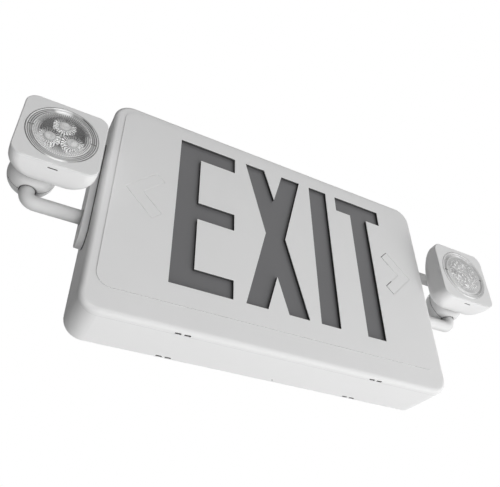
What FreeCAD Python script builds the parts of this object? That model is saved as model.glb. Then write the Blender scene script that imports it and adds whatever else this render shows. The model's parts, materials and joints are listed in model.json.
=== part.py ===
import FreeCAD, Part
import math
import os

Vec = FreeCAD.Vector

# Emergency exit light: stencil-faced sign housing with two lamp heads on side rails.
# Millimetres. X to the right, Y towards the wall, Z up.
# Origin: centre of the flat back face that lies on the wall. The sign faces -Y.

# ---- housing -------------------------------------------------------------
HOUSING_W = 322.5
HOUSING_H = 208.4
HOUSING_D = 46.0
CORNER_R = 16.0          # corners seen from the front
EDGE_R = 4.0             # rounding round the front face
REAR_EDGE_R = 2.0        # rounding round the wall side
WALL = 2.4
COVER_DEPTH = 6.0        # front face to the cover seam
BACK_DEPTH = 12.5        # wall face to the back plate seam
TONGUE_T = 1.2           # lip that centres one shell in the next
TONGUE_L = 3.0
FIT_GAP = 0.15           # clearance between lip and wall

# ---- raised panel and stencil letters ---------------------------------------
PANEL_RAISE = 0.5
PANEL_SIDE = 8.9         # margins from the housing edge
PANEL_TOP = 7.0
PANEL_BOTTOM = 20.3
PANEL_R = 12.0
FACE_T = 2.8             # raised face thickness
LETTER_H = 152.4
LETTER_TOP = 18.8        # margin above the letters
LETTER_LEFT = 60.8       # margin left of the word
LETTER_GAP = 11.05
STROKE_W = 19.6          # upright strokes
STROKE_H = 17.7          # level strokes
E_W = 53.0
X_W = 58.4
X_NOTCH = 33.6
T_W = 52.6
CHEVRON_TIP = 142.6      # distance of the tips from the middle
CHEVRON_Z = 10.4
CHEVRON_T = 10.2
CHEVRON_ARM = 23.6
SCORE_W = 0.7
SCORE_D = 0.4

# ---- snap fingers of the frame, hooked into pairs of windows --------------------------
SNAP_X = 84.5            # middle of a pair
SNAP_PITCH = 7.2
WINDOW_W = 4.9
WINDOW_D = 1.8
WINDOW_FRONT = 4.4       # front face to the middle of the front windows
WINDOW_REAR = 3.4        # wall face to the middle of the rear windows
FINGER_T = 1.2
FINGER_SIDE = 1.0        # finger beyond its windows
FINGER_ROOT = 6.0
HOOK_GAP = 0.3
HOOK_FREE = 1.2          # open end of each window, towards the middle
HOOK_SUNK = 0.9

# ---- light chamber ---------------------------------------------------------
DIFFUSER_T = 1.5
DIFFUSER_MARGIN = 12.0   # diffuser edge to housing edge
TRAY_DEPTH = 17.0
TRAY_T = 1.2
TRAY_MARGIN = 14.0
STRIP_L = 236.0
STRIP_H = 8.0
BOARD_T = 1.6
LED_COUNT = 10
LED_SIZE = 3.0
LED_T = 1.0

# ---- electronics on the back plate ----------------------------------------------
STANDOFF_H = 5.0
STANDOFF_R = 3.2
MAIN_BOARD_W = 118.0
MAIN_BOARD_H = 66.0
MAIN_BOARD_RIGHT = 18.25  # board's right edge to the housing's side
MAIN_BOARD_LOW = 27.2    # board's lower edge to the housing's underside
BOARD_HOLE_INSET = 5.0
RELAY_W = 15.0
RELAY_H = 19.0
RELAY_D = 10.0
RELAY_LEFT = 54.0        # from the board's left edge
PARTS_LOW = 14.0         # from the board's lower edge
CAPACITOR_R = 5.0
CAPACITOR_L = 12.0
SMALL_CAPACITOR_R = 3.2
SMALL_CAPACITOR_L = 9.0
PART_GAP = 5.0
SOCKET_W = 20.0
SOCKET_H = 7.0
SOCKET_D = 6.0
TRANSFORMER_W = 34.0
TRANSFORMER_H = 28.0
TRANSFORMER_D = 12.5
TRANSFORMER_LEFT = 10.0  # from the board's left edge
COIL_PROUD = 5.0
COIL_STEP = 2.0
CELL_R = 7.2
CELL_L = 49.5
CELL_COUNT = 3
BATTERY_LEFT = 77.25     # battery's middle to the housing's side
BATTERY_LOW = 54.2       # battery's middle to the housing's underside
STRAP_T = 1.2
STRAP_W = 12.0
TERMINAL_L = 36.0
TERMINAL_H = 12.0
TERMINAL_D = 11.0
TERMINAL_X = 44.0
TERMINAL_TOP = 60.2      # block's middle to the housing's top
TERMINAL_WAYS = 4
TERMINAL_HOLE_R = 2.2

# ---- back plate holes ----------------------------------------------------------
WIRE_HOLE_R = 11.1
BOX_SCREW_SPACING = 83.3
BOX_SCREW_R = 2.3
KEYHOLE_X = 120.0
KEYHOLE_Z = 66.0
KEYHOLE_R = 4.6
KEYHOLE_SLOT_R = 2.4
KEYHOLE_RISE = 9.0
KNOCKOUT_SPACING = 88.9  # round knock-outs, across the diagonal
KNOCKOUT_R = 5.0
KNOCKOUT_W = 0.6
KNOCKOUT_D = 0.5
DRAIN_X = 8.7
DRAIN_BACK = 4.5         # wall face to the drain hole
DRAIN_R = 0.8

# ---- screws through the back plate into the frame ---------------------------------
CASE_SCREW_INSET = 11.0   # post middle to the housing's outer faces
BOSS_R = 4.2
RIB_T = 2.4
SCREW_R = 1.5
SCREW_HEAD_R = 2.9
SCREW_HEAD_H = 1.8

# ---- test button and status lamp on the right side --------------------------------
BUTTON_LOW = 44.2        # above the housing's underside
BUTTON_R = 4.0
BUTTON_PROUD = 2.6
BUTTON_TRAVEL = 1.8
BUTTON_GAP = 0.08
STATUS_STEP = 16.0       # below the button
STATUS_R = 2.5
STATUS_PROUD = 1.0
SIDE_BOARD_GAP = 9.0     # side wall's inner face to the side board
SWITCH_T = 3.2
SWITCH_W = 6.0

# ---- rails and pads ------------------------------------------------------------
RAIL_R = 5.7
RAIL_T = 1.2
RAIL_BEND = 8.0
RAIL_Y = -22.3
RAIL_MID_Z = 12.6
RAIL_HALF = 26.7         # middle to each level leg
RAIL_INSIDE = 9.5        # threaded ends inside the side wall
PAD_T = 5.8
PAD_W = 21.5
PAD_MARGIN = 26.8        # level leg to the pad's end
PAD_EDGE_R = 0.4
PAD_FOOT_T = 0.7         # shadow gap between pad and side wall
PAD_FOOT_IN = 0.9
RAIL_MOUTH = 0.6         # chamfer round each leg in the pad
RAIL_FIT = 0.05
NUT_AF = 16.0
NUT_T = 4.0
NUT_GAP = 0.4

# ---- swivel ball ----------------------------------------------------------------
BALL_REACH = 48.15       # ball's middle to the housing's side
BALL_R = 18.2
BALL_WALL = 2.4
BALL_FLAT = 1.5          # cut off each pole, where the rail passes
SLEEVE_T = 2.4
RUN_GAP = 0.05           # ball bore on the rail
BALL_SCREW_X = 11.8
BALL_BOSS_R = 2.9
BALL_SCREW_R = 1.25
BALL_HEAD_R = 2.3
BALL_HEAD_SUNK = 4.6
BALL_SEAM_W = 0.3        # groove where the two halves meet, per half
BALL_SEAM_D = 0.5
BALL_MOUTH = 0.7         # chamfer where the rail leaves the ball

# ---- lamp heads --------------------------------------------------------------
HEAD_SHIFT_X = 11.4      # head middle, inward of the ball
HEAD_SHIFT_Z = 8.7       # head middle, above the ball
HEAD_HALF = 31.2
HEAD_FACE_Y = -43.2      # face plane, from the ball's middle
HEAD_FACE_R = 9.0
HEAD_EDGE_R = 1.0
HEAD_WALL = 2.2
HEAD_STRAIGHT = 7.5      # depth of the straight part behind the face
CUP_GAP = 0.3            # ball to cup
CUP_BOSS_R = 13.0
CUP_T = 2.6
HEAD_SLOT_W = 7.0
HEAD_SLOT_T = 1.0
HEAD_SLOT_BACK = 4.6
TILT_LIMIT = 20.0
STUD_R = 3.0
STUD_SLOT_GAP = 0.2
STUD_CAP_R = 5.6
STUD_CAP_T = 1.8
LENS_R = 26.6
LENS_GAP = 0.15
LENS_RECESS = 0.5
LENS_T = 1.8
LENS_DOME = 1.3
LENS_SKIRT = 2.8
SEAT_T = 1.4
REFLECTOR_T = 1.0
REFLECTOR_RIM = 24.4
REFLECTOR_BASE = 18.0
REFLECTOR_DEPTH = 7.6
OPTIC_RING = 9.6
OPTIC_R = 7.9
OPTIC_EYE_R = 3.9
OPTIC_EYE_D = 1.4
OPTIC_FOOT_R = 3.0
OPTIC_L = 10.9

FRONT_Y = -HOUSING_D
BORDER_Y = FRONT_Y + PANEL_RAISE
COVER_SEAM_Y = FRONT_Y + COVER_DEPTH
BACK_SEAM_Y = -BACK_DEPTH
FACE_BACK_Y = FRONT_Y + FACE_T
SIDE_X = HOUSING_W / 2
TOP_Z = HOUSING_H / 2
INNER_X = SIDE_X - WALL
CASE_SCREW_X = SIDE_X - CASE_SCREW_INSET
CASE_SCREW_Z = TOP_Z - CASE_SCREW_INSET
RAIL_LEGS_Z = (RAIL_MID_Z - RAIL_HALF, RAIL_MID_Z + RAIL_HALF)
BALL_X = SIDE_X + BALL_REACH
BUTTON_Z = -TOP_Z + BUTTON_LOW
STATUS_Z = BUTTON_Z - STATUS_STEP
BOARD_X0 = SIDE_X - MAIN_BOARD_RIGHT - MAIN_BOARD_W
BOARD_Z0 = -TOP_Z + MAIN_BOARD_LOW
BATTERY_X = -SIDE_X + BATTERY_LEFT
BATTERY_Z = -TOP_Z + BATTERY_LOW
TERMINAL_Z = TOP_Z - TERMINAL_TOP


# ---- small makers ----------------------------------------------------------------
def block(x0, x1, y0, y1, z0, z1):
    return Part.makeBox(x1 - x0, y1 - y0, z1 - z0, Vec(x0, y0, z0))


def rod(radius, start, axis, length):
    return Part.makeCylinder(radius, length, Vec(*start), Vec(*axis))


def outline(half_w, z0, z1, radius, y, mid_x=0.0):
    """Rounded rectangle as a wire in the plane of constant y."""
    x0, x1, r = mid_x - half_w, mid_x + half_w, radius
    k = r * (1 - math.sqrt(0.5))
    spots = [(x0 + r, z0), (x1 - r, z0), (x1 - k, z0 + k), (x1, z0 + r), (x1, z1 - r),
             (x1 - k, z1 - k), (x1 - r, z1), (x0 + r, z1), (x0 + k, z1 - k), (x0, z1 - r),
             (x0, z0 + r), (x0 + k, z0 + k), (x0 + r, z0)]
    pts = [Vec(px, y, pz) for px, pz in spots]
    edges = []
    for i in range(0, 12, 3):
        edges.append(Part.LineSegment(pts[i], pts[i + 1]).toShape())
        edges.append(Part.Arc(pts[i + 1], pts[i + 2], pts[(i + 3) % 12]).toShape())
    return Part.Wire(edges)


def slab(half_w, z0, z1, radius, y0, y1):
    """Rounded rectangle with thickness, from y0 to y1."""
    return Part.Face(outline(half_w, z0, z1, radius, y0)).extrude(Vec(0, y1 - y0, 0))


def shell_slab(inset, y0, y1):
    """Slab that follows the housing outline, inset from its edge."""
    return slab(SIDE_X - inset, -TOP_Z + inset, TOP_Z - inset, max(CORNER_R - inset, 1.0), y0, y1)


def ring_slab(inset, thickness, y0, y1):
    return shell_slab(inset, y0, y1).cut(shell_slab(inset + thickness, y0, y1))


def plate(points, y0, y1):
    """Flat polygon in X and Z, from y0 to y1."""
    loop = [Vec(px, y0, pz) for px, pz in points]
    return Part.Face(Part.makePolygon(loop + loop[:1])).extrude(Vec(0, y1 - y0, 0))


def edges_at_y(shape, y):
    return [e for e in shape.Edges if all(abs(v.Point.y - y) < 1e-4 for v in e.Vertexes)]


def hexagon(across_flats, centre, axis, thickness):
    """Hexagonal nut blank along X or Y."""
    r = across_flats / math.sqrt(3)
    cx, cy, cz = centre
    loop = []
    for i in range(7):
        a = math.radians(60 * i)
        u, v = r * math.cos(a), r * math.sin(a)
        loop.append(Vec(cx, cy + u, cz + v) if axis[0] else Vec(cx + u, cy, cz + v))
    return Part.Face(Part.makePolygon(loop)).extrude(Vec(*axis) * thickness)


def turned(profile, centre):
    """Profile of (radius, y) points turned about the line through centre along Y."""
    cx, cy, cz = centre
    loop = [Vec(cx + r, cy + y, cz) for r, y in profile]
    face = Part.Face(Part.makePolygon(loop + loop[:1]))
    return face.revolve(Vec(cx, cy, cz), Vec(0, 1, 0), 360)


def fuse_all(shapes):
    return shapes[0].multiFuse(shapes[1:]).removeSplitter() if len(shapes) > 1 else shapes[0]


def save(node, shape):
    shape.exportStep("parts/%s.step" % node)


# ---- letters and arrows --------------------------------------------------------------
def letter_shapes():
    """Stencil openings of the word, as (left offset, points) from the word's lower left."""
    h, s, a = LETTER_H, STROKE_W, STROKE_H
    mid0, mid1 = (h - a) / 2, (h + a) / 2
    letter_e = [(0, 0), (E_W, 0), (E_W, a), (s, a), (s, mid0), (E_W, mid0), (E_W, mid1), (s, mid1),
                (s, h - a), (E_W, h - a), (E_W, h), (0, h)]
    c = X_W / 2
    half = s / 2
    letter_x = [(0, 0), (s, 0), (c, X_NOTCH), (X_W - s, 0), (X_W, 0), (c + half, h / 2), (X_W, h),
                (X_W - s, h), (c, h - X_NOTCH), (s, h), (0, h), (c - half, h / 2)]
    letter_i = [(0, 0), (s, 0), (s, h), (0, h)]
    t0, t1 = (T_W - s) / 2, (T_W + s) / 2
    letter_t = [(t0, 0), (t1, 0), (t1, h - a), (T_W, h - a), (T_W, h), (0, h), (0, h - a), (t0, h - a)]
    shapes = []
    left = 0.0
    for points, width in ((letter_e, E_W), (letter_x, X_W), (letter_i, s), (letter_t, T_W)):
        shapes.append((left, points))
        left += width + LETTER_GAP
    return shapes


def chevron(side):
    """Arrow outline that points to -X (side -1) or +X (side 1)."""
    step = CHEVRON_ARM * math.sqrt(0.5)
    end = CHEVRON_T * math.sqrt(0.5)
    notch = CHEVRON_TIP - CHEVRON_T * math.sqrt(2)
    half = [(CHEVRON_TIP, 0), (notch - step + end, step + end), (notch - step, step), (notch, 0),
            (notch - step, -step), (notch - step + end, -step - end)]
    return [(side * px, CHEVRON_Z + pz) for px, pz in half]


def score(points):
    """Fine groove along a closed outline in the face."""
    loop = [Vec(px, FRONT_Y, pz) for px, pz in points]
    wire = Part.makePolygon(loop + loop[:1])
    outer = Part.Face(wire.makeOffset2D(SCORE_W / 2, 2))
    inner = Part.Face(wire.makeOffset2D(-SCORE_W / 2, 2))
    if outer.Area < inner.Area:
        outer, inner = inner, outer
    return outer.cut(inner).extrude(Vec(0, SCORE_D, 0))


# ---- housing shells --------------------------------------------------------------
def from_edge(x0, x1, y0, y1, sz, deep0, deep1):
    """Box measured inwards from the top (1) or bottom (-1) face."""
    x0, x1 = sorted((x0, x1))
    y0, y1 = sorted((y0, y1))
    z0, z1 = sorted((sz * (TOP_Z - deep0), sz * (TOP_Z - deep1)))
    return block(x0, x1, y0, y1, z0, z1)


def snap_places(way):
    """Side, top or bottom, window depth, end of the room and seam, for the front (1) or rear (-1)."""
    y, end, seam = ((FRONT_Y + WINDOW_FRONT, FACE_BACK_Y, COVER_SEAM_Y) if way > 0
                    else (-WINDOW_REAR, -WALL, BACK_SEAM_Y))
    return [(sx, sz, y, end, seam) for sx in (-1, 1) for sz in (-1, 1)]


FINGER_HALF = (SNAP_PITCH + WINDOW_W) / 2 + FINGER_SIDE


def snap_cuts(way):
    """Windows through the wall, and room in the lip for each finger."""
    cuts = []
    for sx, sz, y, end, seam in snap_places(way):
        mid = sx * SNAP_X
        for step in (-1, 1):
            x = mid + step * SNAP_PITCH / 2
            cuts.append(from_edge(x - WINDOW_W / 2, x + WINDOW_W / 2, y - WINDOW_D / 2, y + WINDOW_D / 2,
                                  sz, -0.5, WALL + 0.1))
        half = FINGER_HALF + HOOK_GAP
        cuts.append(from_edge(mid - half, mid + half, end, seam + way * (TONGUE_L + 1), sz, WALL,
                              WALL + FIT_GAP + FINGER_T + HOOK_GAP))
    return cuts


def snap_fingers(way):
    """Fingers of the frame with two hooks each."""
    parts = []
    base = WALL + FIT_GAP
    for sx, sz, y, end, seam in snap_places(way):
        mid = sx * SNAP_X
        x0, x1 = mid - FINGER_HALF, mid + FINGER_HALF
        parts.append(from_edge(x0, x1, end + way * HOOK_GAP, seam, sz, base, base + FINGER_T))
        parts.append(from_edge(x0, x1, seam, seam + way * FINGER_ROOT, sz, WALL - 0.1, base + FINGER_T))
        for step in (-1, 1):
            x = mid + step * SNAP_PITCH / 2
            outer, inner = x + sx * WINDOW_W / 2, x - sx * WINDOW_W / 2
            half = WINDOW_D / 2 - 0.2
            parts.append(from_edge(outer - sx * HOOK_GAP, inner + sx * HOOK_FREE, y - half, y + half,
                                   sz, HOOK_SUNK, base + 0.1))
    return parts


def make_front_cover():
    skin = shell_slab(0, BORDER_Y, COVER_SEAM_Y)
    skin = skin.makeFillet(EDGE_R, edges_at_y(skin, BORDER_Y))
    panel = slab(SIDE_X - PANEL_SIDE, -TOP_Z + PANEL_BOTTOM, TOP_Z - PANEL_TOP, PANEL_R,
                 FRONT_Y, BORDER_Y + 0.5)
    hollow = shell_slab(WALL, FACE_BACK_Y, COVER_SEAM_Y)
    tongue = ring_slab(WALL + FIT_GAP, TONGUE_T, FACE_BACK_Y, COVER_SEAM_Y + TONGUE_L)
    cover = skin.fuse(panel).cut(hollow).fuse(tongue)
    left, base = -SIDE_X + LETTER_LEFT, TOP_Z - LETTER_TOP - LETTER_H
    cuts = [plate([(left + dx + px, base + pz) for px, pz in points], FRONT_Y - 1, FACE_BACK_Y + 1)
            for dx, points in letter_shapes()]
    cuts += [score(chevron(side)) for side in (-1, 1)]
    cover = cover.cut(Part.makeCompound(cuts)).removeSplitter()
    return cover.cut(Part.makeCompound(snap_cuts(1)))


def make_letter_diffuser():
    inset = DIFFUSER_MARGIN
    return shell_slab(inset, FACE_BACK_Y, FACE_BACK_Y + DIFFUSER_T)


def corner_rib(sx, sz, y0, y1):
    """Rib that joins a corner post to the rounded corner of the wall."""
    diagonal = math.sqrt(0.5)
    reach = (CASE_SCREW_INSET - CORNER_R) * math.sqrt(2) + CORNER_R - WALL / 2
    x, z = sx * CASE_SCREW_X, sz * CASE_SCREW_Z
    dx, dz = sx * diagonal, sz * diagonal
    nx, nz = -dz * RIB_T / 2, dx * RIB_T / 2
    return plate([(x + nx, z + nz), (x - nx, z - nz), (x + dx * reach - nx, z + dz * reach - nz),
                  (x + dx * reach + nx, z + dz * reach + nz)], y0, y1)


def make_housing_frame():
    parts = [ring_slab(0, WALL, COVER_SEAM_Y, BACK_SEAM_Y)]
    post_y = COVER_SEAM_Y + TONGUE_L + 1
    for sx in (-1, 1):
        for sz in (-1, 1):
            parts.append(rod(BOSS_R, (sx * CASE_SCREW_X, post_y, sz * CASE_SCREW_Z), (0, 1, 0),
                             BACK_SEAM_Y - post_y))
            parts.append(corner_rib(sx, sz, post_y, BACK_SEAM_Y - TONGUE_L - 0.5))
    frame = fuse_all(parts + snap_fingers(1) + snap_fingers(-1))
    cuts = []
    for sx in (-1, 1):
        for sz in (-1, 1):
            cuts.append(rod(SCREW_R - 0.2, (sx * CASE_SCREW_X, BACK_SEAM_Y + 1, sz * CASE_SCREW_Z),
                            (0, -1, 0), 14))
        for z in RAIL_LEGS_Z:
            cuts.append(rod(RAIL_R + RAIL_FIT, (sx * (INNER_X - 1), RAIL_Y, z), (sx, 0, 0), WALL + 2))
    cuts.append(rod(BUTTON_R + BUTTON_GAP, (INNER_X - 1, RAIL_Y, BUTTON_Z), (1, 0, 0), WALL + 2))
    cuts.append(rod(STATUS_R + BUTTON_GAP, (INNER_X - 1, RAIL_Y, STATUS_Z), (1, 0, 0), WALL + 2))
    return frame.cut(Part.makeCompound(cuts))


def keyhole(x, z):
    slot = block(x - KEYHOLE_SLOT_R, x + KEYHOLE_SLOT_R, -WALL - 1, 1, z, z + KEYHOLE_RISE)
    return [rod(KEYHOLE_R, (x, -WALL - 1, z), (0, 1, 0), WALL + 2), slot,
            rod(KEYHOLE_SLOT_R, (x, -WALL - 1, z + KEYHOLE_RISE), (0, 1, 0), WALL + 2)]


def board_corners():
    inset = BOARD_HOLE_INSET
    return [(x, z) for x in (BOARD_X0 + inset, BOARD_X0 + MAIN_BOARD_W - inset)
            for z in (BOARD_Z0 + inset, BOARD_Z0 + MAIN_BOARD_H - inset)]


def make_back_plate():
    skin = shell_slab(0, BACK_SEAM_Y, 0)
    skin = skin.makeFillet(REAR_EDGE_R, edges_at_y(skin, 0))
    dish = skin.cut(shell_slab(WALL, BACK_SEAM_Y, -WALL))
    parts = [dish, ring_slab(WALL + FIT_GAP, TONGUE_T, BACK_SEAM_Y - TONGUE_L, -WALL)]
    for x, z in board_corners():
        parts.append(rod(STANDOFF_R, (x, -WALL - STANDOFF_H, z), (0, 1, 0), STANDOFF_H))
    for sx in (-1, 1):
        for sz in (-1, 1):
            parts.append(rod(BOSS_R, (sx * CASE_SCREW_X, BACK_SEAM_Y, sz * CASE_SCREW_Z), (0, 1, 0),
                             BACK_DEPTH - WALL))
    hub = rod(WIRE_HOLE_R + 2.2, (0, -WALL - 2.5, 0), (0, 1, 0), 2.5)
    plate_body = fuse_all(parts + [hub])
    cuts = [rod(WIRE_HOLE_R, (0, -WALL - 4, 0), (0, 1, 0), WALL + 6)]
    for sz in (-1, 1):
        cuts.append(rod(BOX_SCREW_R, (0, -WALL - 1, sz * BOX_SCREW_SPACING / 2), (0, 1, 0), WALL + 2))
        for sx in (-1, 1):
            x, z = sx * CASE_SCREW_X, sz * CASE_SCREW_Z
            cuts.append(rod(SCREW_R + 0.2, (x, BACK_SEAM_Y - 1, z), (0, 1, 0), BACK_DEPTH + 2))
            cuts.append(rod(SCREW_HEAD_R + 0.3, (x, -SCREW_HEAD_H - 0.4, z), (0, 1, 0), SCREW_HEAD_H + 1))
    for sx in (-1, 1):
        cuts += keyhole(sx * KEYHOLE_X, KEYHOLE_Z)
        for z in RAIL_LEGS_Z:
            cuts.append(rod(NUT_AF / math.sqrt(3) + NUT_GAP, (sx * (INNER_X - NUT_T - 1), RAIL_Y, z),
                            (sx, 0, 0), NUT_T + 1))
    for x, z in board_corners():
        cuts.append(rod(SCREW_R - 0.3, (x, -WALL - STANDOFF_H - 1, z), (0, 1, 0), STANDOFF_H))
    for sx in (-1, 1):
        for sz in (-1, 1):
            x, z = (s * KNOCKOUT_SPACING / 2 * math.sqrt(0.5) for s in (sx, sz))
            ring = rod(KNOCKOUT_R, (x, -KNOCKOUT_D, z), (0, 1, 0), KNOCKOUT_D + 1)
            core = rod(KNOCKOUT_R - KNOCKOUT_W, (x, -KNOCKOUT_D - 1, z), (0, 1, 0), KNOCKOUT_D + 3)
            cuts.append(ring.cut(core))
    cuts.append(rod(DRAIN_R, (DRAIN_X, -DRAIN_BACK, -TOP_Z - 1), (0, 0, 1), WALL + FIT_GAP + TONGUE_T + 1.5))
    return plate_body.cut(Part.makeCompound(cuts)).cut(Part.makeCompound(snap_cuts(-1)))


def make_case_screws():
    screws = []
    shank_l = BACK_DEPTH + 10 - SCREW_HEAD_H - 0.4
    for sx in (-1, 1):
        for sz in (-1, 1):
            x, z = sx * CASE_SCREW_X, sz * CASE_SCREW_Z
            head = rod(SCREW_HEAD_R, (x, -SCREW_HEAD_H - 0.4, z), (0, 1, 0), SCREW_HEAD_H)
            shank = rod(SCREW_R - 0.2, (x, BACK_SEAM_Y - 10, z), (0, 1, 0), shank_l)
            screws.append(head.fuse(shank))
    return Part.makeCompound(screws)


# ---- light chamber ---------------------------------------------------------------
TRAY_FRONT_Y = FACE_BACK_Y + DIFFUSER_T
TRAY_BACK_Y = TRAY_FRONT_Y + TRAY_DEPTH


def make_light_tray():
    tray = shell_slab(TRAY_MARGIN, TRAY_FRONT_Y, TRAY_BACK_Y)
    return tray.cut(shell_slab(TRAY_MARGIN + TRAY_T, TRAY_FRONT_Y, TRAY_BACK_Y - TRAY_T))


def make_led_strip(side):
    """Strip on the tray's top (1) or bottom (-1) wall, LEDs facing the middle."""
    wall_z = side * (TOP_Z - TRAY_MARGIN - TRAY_T)
    mid_y = (TRAY_FRONT_Y + TRAY_BACK_Y) / 2
    z0, z1 = sorted((wall_z, wall_z - side * BOARD_T))
    strip = [block(-STRIP_L / 2, STRIP_L / 2, mid_y - STRIP_H / 2, mid_y + STRIP_H / 2, z0, z1)]
    face_z = wall_z - side * BOARD_T
    l0, l1 = sorted((face_z, face_z - side * LED_T))
    pitch = STRIP_L / LED_COUNT
    for i in range(LED_COUNT):
        x = -STRIP_L / 2 + (i + 0.5) * pitch
        strip.append(block(x - LED_SIZE / 2, x + LED_SIZE / 2,
                           mid_y - LED_SIZE / 2, mid_y + LED_SIZE / 2, l0, l1))
    return fuse_all(strip)


# ---- electronics ----------------------------------------------------------------
BOARD_BACK_Y = -WALL - STANDOFF_H
BOARD_FRONT_Y = BOARD_BACK_Y - BOARD_T


def make_main_board():
    x0, z0, y = BOARD_X0, BOARD_Z0, BOARD_FRONT_Y
    board = block(x0, x0 + MAIN_BOARD_W, y, BOARD_BACK_Y, z0, z0 + MAIN_BOARD_H)
    relay_x, low = x0 + RELAY_LEFT, z0 + PARTS_LOW
    relay = block(relay_x, relay_x + RELAY_W, y - RELAY_D, y, low, low + RELAY_H)
    can_x = relay_x + RELAY_W + 2 * PART_GAP + CAPACITOR_R
    can_z = low + RELAY_H / 2
    capacitor = rod(CAPACITOR_R, (can_x, y, can_z), (0, -1, 0), CAPACITOR_L)
    small_x = can_x + CAPACITOR_R + PART_GAP + SMALL_CAPACITOR_R
    small_capacitor = rod(SMALL_CAPACITOR_R, (small_x, y, can_z), (0, -1, 0), SMALL_CAPACITOR_L)
    socket_x, socket_z = relay_x + RELAY_W + PART_GAP, low + RELAY_H + 2 * PART_GAP
    socket = block(socket_x, socket_x + SOCKET_W, y - SOCKET_D, y, socket_z, socket_z + SOCKET_H)
    board = fuse_all([board, relay, capacitor, small_capacitor, socket])
    holes = [rod(SCREW_R, (x, BOARD_FRONT_Y - 1, z), (0, 1, 0), BOARD_T + 2) for x, z in board_corners()]
    return board.cut(Part.makeCompound(holes))


def make_board_screws():
    screws = []
    for x, z in board_corners():
        head = rod(SCREW_HEAD_R, (x, BOARD_FRONT_Y - SCREW_HEAD_H, z), (0, 1, 0), SCREW_HEAD_H)
        shank = rod(SCREW_R - 0.3, (x, BOARD_FRONT_Y, z), (0, 1, 0), BOARD_T + STANDOFF_H - 1.5)
        screws.append(head.fuse(shank))
    return Part.makeCompound(screws)


def make_transformer():
    x = BOARD_X0 + TRANSFORMER_LEFT + TRANSFORMER_W / 2
    z = BOARD_Z0 + MAIN_BOARD_H / 2
    back = BOARD_FRONT_Y
    core = block(x - TRANSFORMER_W / 2, x + TRANSFORMER_W / 2,
                 back - TRANSFORMER_D + COIL_STEP, back - COIL_STEP,
                 z - TRANSFORMER_H / 2, z + TRANSFORMER_H / 2)
    coil = block(x - TRANSFORMER_W / 4, x + TRANSFORMER_W / 4, back - TRANSFORMER_D, back,
                 z - TRANSFORMER_H / 2 - COIL_PROUD, z + TRANSFORMER_H / 2 + COIL_PROUD)
    return fuse_all([core, coil])


def make_battery_pack():
    """Cells side by side in one shrink sleeve."""
    y = -WALL - CELL_R
    z0 = BATTERY_Z - CELL_L / 2
    pack = []
    for i in range(CELL_COUNT):
        x = BATTERY_X + (i - (CELL_COUNT - 1) / 2) * 2 * CELL_R
        pack.append(rod(CELL_R, (x, y, z0), (0, 0, 1), CELL_L))
    span = (CELL_COUNT - 1) * CELL_R
    pack.append(block(BATTERY_X - span, BATTERY_X + span,
                      y - CELL_R * 0.8, y + CELL_R * 0.8, z0, z0 + CELL_L))
    return fuse_all(pack)


def make_battery_strap():
    """Bridge over the cells, with a foot on the back plate at each side."""
    half = CELL_COUNT * CELL_R + 0.3
    top = -WALL - 2 * CELL_R - 0.2
    z0, z1 = BATTERY_Z - STRAP_W / 2, BATTERY_Z + STRAP_W / 2
    parts = [block(BATTERY_X - half - STRAP_T, BATTERY_X + half + STRAP_T, top - STRAP_T, top, z0, z1)]
    for s in (-1, 1):
        x = BATTERY_X + s * half
        x0, x1 = sorted((x, x + s * STRAP_T))
        parts.append(block(x0, x1, top - STRAP_T, -WALL, z0, z1))
        f0, f1 = sorted((x, x + s * 8))
        parts.append(block(f0, f1, -WALL - STRAP_T, -WALL, z0, z1))
    return fuse_all(parts)


def make_terminal_block():
    x0 = TERMINAL_X - TERMINAL_L / 2
    body = block(x0, x0 + TERMINAL_L, -WALL - TERMINAL_D, -WALL,
                 TERMINAL_Z - TERMINAL_H / 2, TERMINAL_Z + TERMINAL_H / 2)
    cuts = []
    for i in range(TERMINAL_WAYS):
        x = x0 + (i + 0.5) * TERMINAL_L / TERMINAL_WAYS
        cuts.append(rod(TERMINAL_HOLE_R, (x, -WALL - TERMINAL_D - 1, TERMINAL_Z), (0, 1, 0), 4))
        cuts.append(block(x - 2, x + 2, -WALL - 7, -WALL - 3, TERMINAL_Z - TERMINAL_H / 2 - 1,
                          TERMINAL_Z - TERMINAL_H / 2 + 4))
    return body.cut(Part.makeCompound(cuts))


# ---- test button ---------------------------------------------------------------
SIDE_BOARD_X = INNER_X - SIDE_BOARD_GAP


def make_side_board():
    """Small board behind the button, standing on two posts of the side wall."""
    z0, z1 = STATUS_Z - 8, BUTTON_Z + 8
    parts = [block(SIDE_BOARD_X - BOARD_T, SIDE_BOARD_X, RAIL_Y - 7, RAIL_Y + 7, z0, z1)]
    parts.append(rod(1.4, (SIDE_BOARD_X, RAIL_Y, STATUS_Z), (1, 0, 0), SIDE_BOARD_GAP - 1))
    for z in (z0 + 2.5, z1 - 2.5):
        for y in (RAIL_Y - 5, RAIL_Y + 5):
            parts.append(rod(1.5, (SIDE_BOARD_X, y, z), (1, 0, 0), SIDE_BOARD_GAP))
    return fuse_all(parts)


def make_test_switch():
    """Switch under the button's stem."""
    top_x = SIDE_BOARD_X + SWITCH_T
    body = block(SIDE_BOARD_X, top_x, RAIL_Y - SWITCH_W / 2, RAIL_Y + SWITCH_W / 2,
                 BUTTON_Z - SWITCH_W / 2, BUTTON_Z + SWITCH_W / 2)
    return body.makeChamfer(0.3, [e for e in body.Edges if all(v.Point.x > top_x - 0.01 for v in e.Vertexes)])


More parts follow.
